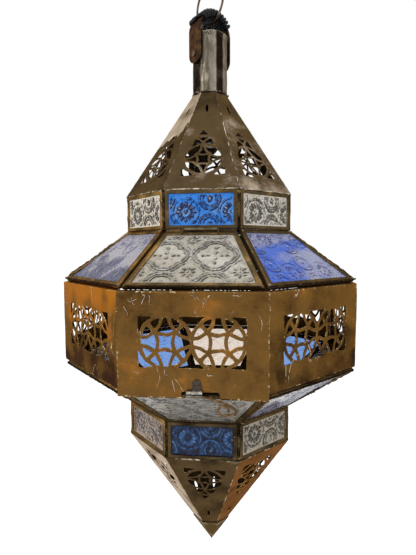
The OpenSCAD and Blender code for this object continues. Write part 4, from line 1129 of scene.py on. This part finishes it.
def neck():
    """A sheet rolled into a tube and lapped along its back, with a rolled mouth and two holes for the pin.
    From the left it is dark, grey with streaks, pale, dark and pale again: bands of painted shade and
    painted reflection."""
    start, lap, run_out = math.radians(92), math.radians(9), math.radians(3)
    a = np.linspace(start, start + 2 * math.pi + lap, 200)[:, None]
    tall, roll_r = MOUTH_Z - NECK_Z, 0.75
    z = np.concatenate([spaced(0, tall - 14, 1.2), spaced(tall - 13.4, tall - 1.2, 0.6),
                        tall - 0.6 + 0.6 * np.sin(np.linspace(-0.6, math.pi / 2, 6))])[None, :]
    roll = roll_r * np.sqrt(np.clip(1 - ((z - tall + roll_r) / roll_r) ** 2, 0, 1))
    lapped = np.clip((a - start - 2 * math.pi + run_out) / run_out, 0, 1) * (TUBE_T + 0.05)
    r = NECK_R + lapped + roll + 0.12 * waves(77, a * NECK_R, z, 14.0)
    up = NECK_Z + z + 0 * a
    ring = lambda q: np.stack([q * np.cos(a), q * np.sin(a), up], -1)
    holes = 5.0 + 0 * r
    for place in (math.pi / 4, 5 * math.pi / 4):
        aside = ((a - place + math.pi) % (2 * math.pi) - math.pi) * NECK_R
        holes = np.minimum(holes, np.hypot(aside, up - PIN_Z) - PIN_HOLE)
    d = (np.degrees(a) + 90 + 180) % 360 - 180
    level = np.interp(d, *zip(*NECK_TONES)) + 0.05 * waves(79, a * 18, z, 9.0)
    level = level + 0.1575 * waves(78, a * NECK_R, z * 0.12, 2.4) * (np.abs(d + 8) < 17)
    wear = 0.5 * ridge(z - tall, 1.2) + 0.25 * ridge(z, 1.5) + 0 * a
    shape = Shape()
    pierce(shape, ring(r), ring(r - roll * 0.9 - TUBE_T), holes, level, wear)
    rng = np.random.default_rng(5)
    for i in range(86):
        q = rng.uniform(0, 2 * math.pi)
        if i < 60:
            spot = on_ring(q, NECK_R + rng.uniform(-0.2, 0.7), NECK_Z + rng.uniform(-0.4, 1.1))
            lump(shape, spot, rng.uniform(0.4, 1.15), 800 + i, rng.uniform(0.2, 1.0))
        else:
            q = math.radians(rng.uniform(-104, -78))
            spot = on_ring(q, NECK_R + 0.5, MOUTH_Z - rng.uniform(1.6, 4.2))
            lump(shape, spot, rng.uniform(0.25, 0.7), 800 + i, rng.uniform(0.7, 1.0))
    shape.piece("neck_sheet", "lantern", "tin", "neck_tube")


neck()


# Cord

ROOM = 0.3
ARCH_MID = NECK_R + 0.9 + BAIL_T / 2
ARCH_Z = box("bail_strap")[1][2] - ARCH_MID - BAIL_T / 2
CORD_R = CORD_D / 2 + 0.1


def stadium(s, half_t, half_w):
    """A loop of unit length s round a flat bar: two flats and two round ends."""
    flat, bend = 2 * (half_w - half_t), math.pi * half_t
    s = (s % 1) * 2 * (flat + bend)
    turn = lambda q: math.pi / 2 - q / half_t
    parts = [s < flat / 2, s < flat / 2 + bend, s < 1.5 * flat + bend, s < 1.5 * flat + 2 * bend]
    x = np.select(parts, [s, flat / 2 + half_t * np.cos(turn(s - flat / 2)), flat + bend - s,
                          -flat / 2 - half_t * np.cos(turn(s - 1.5 * flat - bend))], s - 2 * (flat + bend))
    y = np.select(parts, [half_t + 0 * s, half_t * np.sin(turn(s - flat / 2)), -half_t + 0 * s,
                          -half_t * np.sin(turn(s - 1.5 * flat - bend))], half_t)
    return x, y


def winding():
    """The cord goes round the strap once a turn while its place on the arch moves on by one pitch."""
    turns, reach = 11, math.radians(112)
    u = np.linspace(0, turns, turns * 40 + 1)
    across, out = stadium(u, BAIL_T / 2 + ROOM + CORD_R, BAIL_W / 2 + ROOM + CORD_R)
    a = math.pi / 2 + reach * (0.5 - u / turns) + 0.012 * np.sin(u * 9.7)
    r = ARCH_MID + out
    path = along_bail(r * np.cos(a), across, ARCH_Z + r * np.sin(a))
    shape = Shape()
    tube(shape, path, CORD_R + 0.05 * np.sin(u * 23.0), 12)
    shape.piece("bail_cord_winding", "bail", "cord", "grip_winding")


winding()


# The flex's places across the bail and above the lamp holder
FLEX_ROUTE = ((0, -9), (0, 0), (0, 12), (-1, 22), (-4, 32), (-7, 42), (-8, 50), (-8, 55), (-7.4, 58.4),
              (-5.6, 62), (-3, 64.6), (0, 65.6), (3, 64.6), (5.6, 62), (7.4, 58.4), (8, 55), (8, 46), (8, 38))


def flex():
    """The flex goes straight up from the holder, aside past the pin, over in a bend and down again. Each
    point is the mean of seven along the route, which rounds its corners."""
    route = np.array(FLEX_ROUTE, float)
    length = np.concatenate([[0], np.cumsum(np.linalg.norm(np.diff(route, axis=0), axis=1))])
    u = np.linspace(0, length[-1], 160)
    across, up = (np.convolve(np.pad(np.interp(u, length, line), 3, mode="edge"), np.ones(7) / 7,
                              mode="valid") for line in route.T)
    shape = Shape()
    tube(shape, along_bail(0 * across, across, box("lamp_holder")[1][2] + up), 2.5, 14)
    shape.piece("lamp_flex_cord", "lantern", "cord", "lamp_flex")


flex()


def knot():
    """Spare cord pushed under the arch: three sines of different rates make the loops."""
    t = np.linspace(0, 2 * math.pi, 520)
    x = 8.6 * np.sin(3 * t + 0.4) + 1.2 * np.sin(11 * t)
    y = 5.0 * np.sin(5 * t + 1.1) + 1.0 * np.sin(13 * t)
    z = MOUTH_Z + 3.0 + 5.5 * np.sin(7 * t + 0.7) + 0.8 * np.sin(2 * t)
    shape = Shape()
    tube(shape, along_bail(x, y, z), 1.5, 10)
    shape.piece("cord_knot", "lantern", "cord")


knot()


# Camera, floor and light

# The sensor's longer side in millimetres, the picture's in pixels and the focal length in its pixels
SENSOR, PICTURE_H, FOCAL = 36.0, 555.0, 405.2
scene = bpy.context.scene
scene.view_settings.view_transform = "Standard"
camera = bpy.data.objects.new("camera", bpy.data.cameras.new("camera"))
scene.collection.objects.link(camera)
camera.data.sensor_width = SENSOR
camera.data.lens = FOCAL * SENSOR / PICTURE_H
camera.location = (0.0451, -0.4330, 0.0697 + BELT_Z / MM)
ahead = Vector((-0.110, 0.9914, -0.0708)).normalized()
camera.rotation_mode = "QUATERNION"
aim = ahead.to_track_quat("-Z", "Y")
camera.rotation_quaternion = Matrix.Rotation(math.radians(0.23), 3, ahead).to_quaternion() @ aim
scene.camera = camera


def seen_white(nodes):
    """1 for the camera's rays and for those that mirror or pass through something, and 0 for the rest."""
    path = nodes.tree.nodes.new("ShaderNodeLightPath").outputs
    return nodes.math("MAXIMUM", path["Is Camera Ray"],
                      nodes.math("MAXIMUM", path["Is Glossy Ray"], path["Is Transmission Ray"]))


def floor():
    """A wide flat square well under the lantern, seen as white, and darker where the lantern shades it."""
    mesh = bpy.data.meshes.new("floor")
    z, far = cad_box[0][2] - 0.6, 60
    mesh.from_pydata([(-far, -far, z), (far, -far, z), (far, far, z), (-far, far, z)], [], [(0, 1, 2, 3)])
    obj = bpy.data.objects.new("floor", mesh)
    scene.collection.objects.link(obj)
    m = bpy.data.materials.new("floor")
    m.use_nodes = True
    n = Nodes(m.node_tree)
    m.node_tree.nodes.remove(m.node_tree.nodes["Principled BSDF"])
    pale = n.add("BsdfDiffuse", {"Color": (0.8, 0.8, 0.8, 1)})
    glow = n.add("Emission", {"Strength": n.times(seen_white(n), 0.75)})
    output = m.node_tree.nodes["Material Output"]
    m.node_tree.links.new(n.add("AddShader", {0: pale, 1: glow}), output.inputs["Surface"])
    mesh.materials.append(m)


floor()

world = bpy.data.worlds.new("studio")
scene.world = world
world.use_nodes = True
n = Nodes(world.node_tree)
background = world.node_tree.nodes["Background"]
background.inputs["Color"].default_value = (1, 1, 1, 1)
world.node_tree.links.new(n.ramp(seen_white(n), 0, 1, 0.45, 1.0), background.inputs["Strength"])


def lamp(name, place, aim, size, watts):
    light = bpy.data.lights.new(name, "AREA")
    light.size, light.energy = size, watts
    obj = bpy.data.objects.new(name, light)
    scene.collection.objects.link(obj)
    obj.location = place
    obj.rotation_mode = "QUATERNION"
    obj.rotation_quaternion = (Vector(aim) - Vector(place)).to_track_quat("-Z", "Y")


middle = (0, 0, BELT_Z / MM)
lamp("key", (-1.0, -0.9, 0.6), middle, 0.8, 12.0)
lamp("fill", (1.3, -0.8, 0.2), middle, 1.0, 5.0)
lamp("top", (0.1, 0.3, 1.1), middle, 1.0, 6.0)
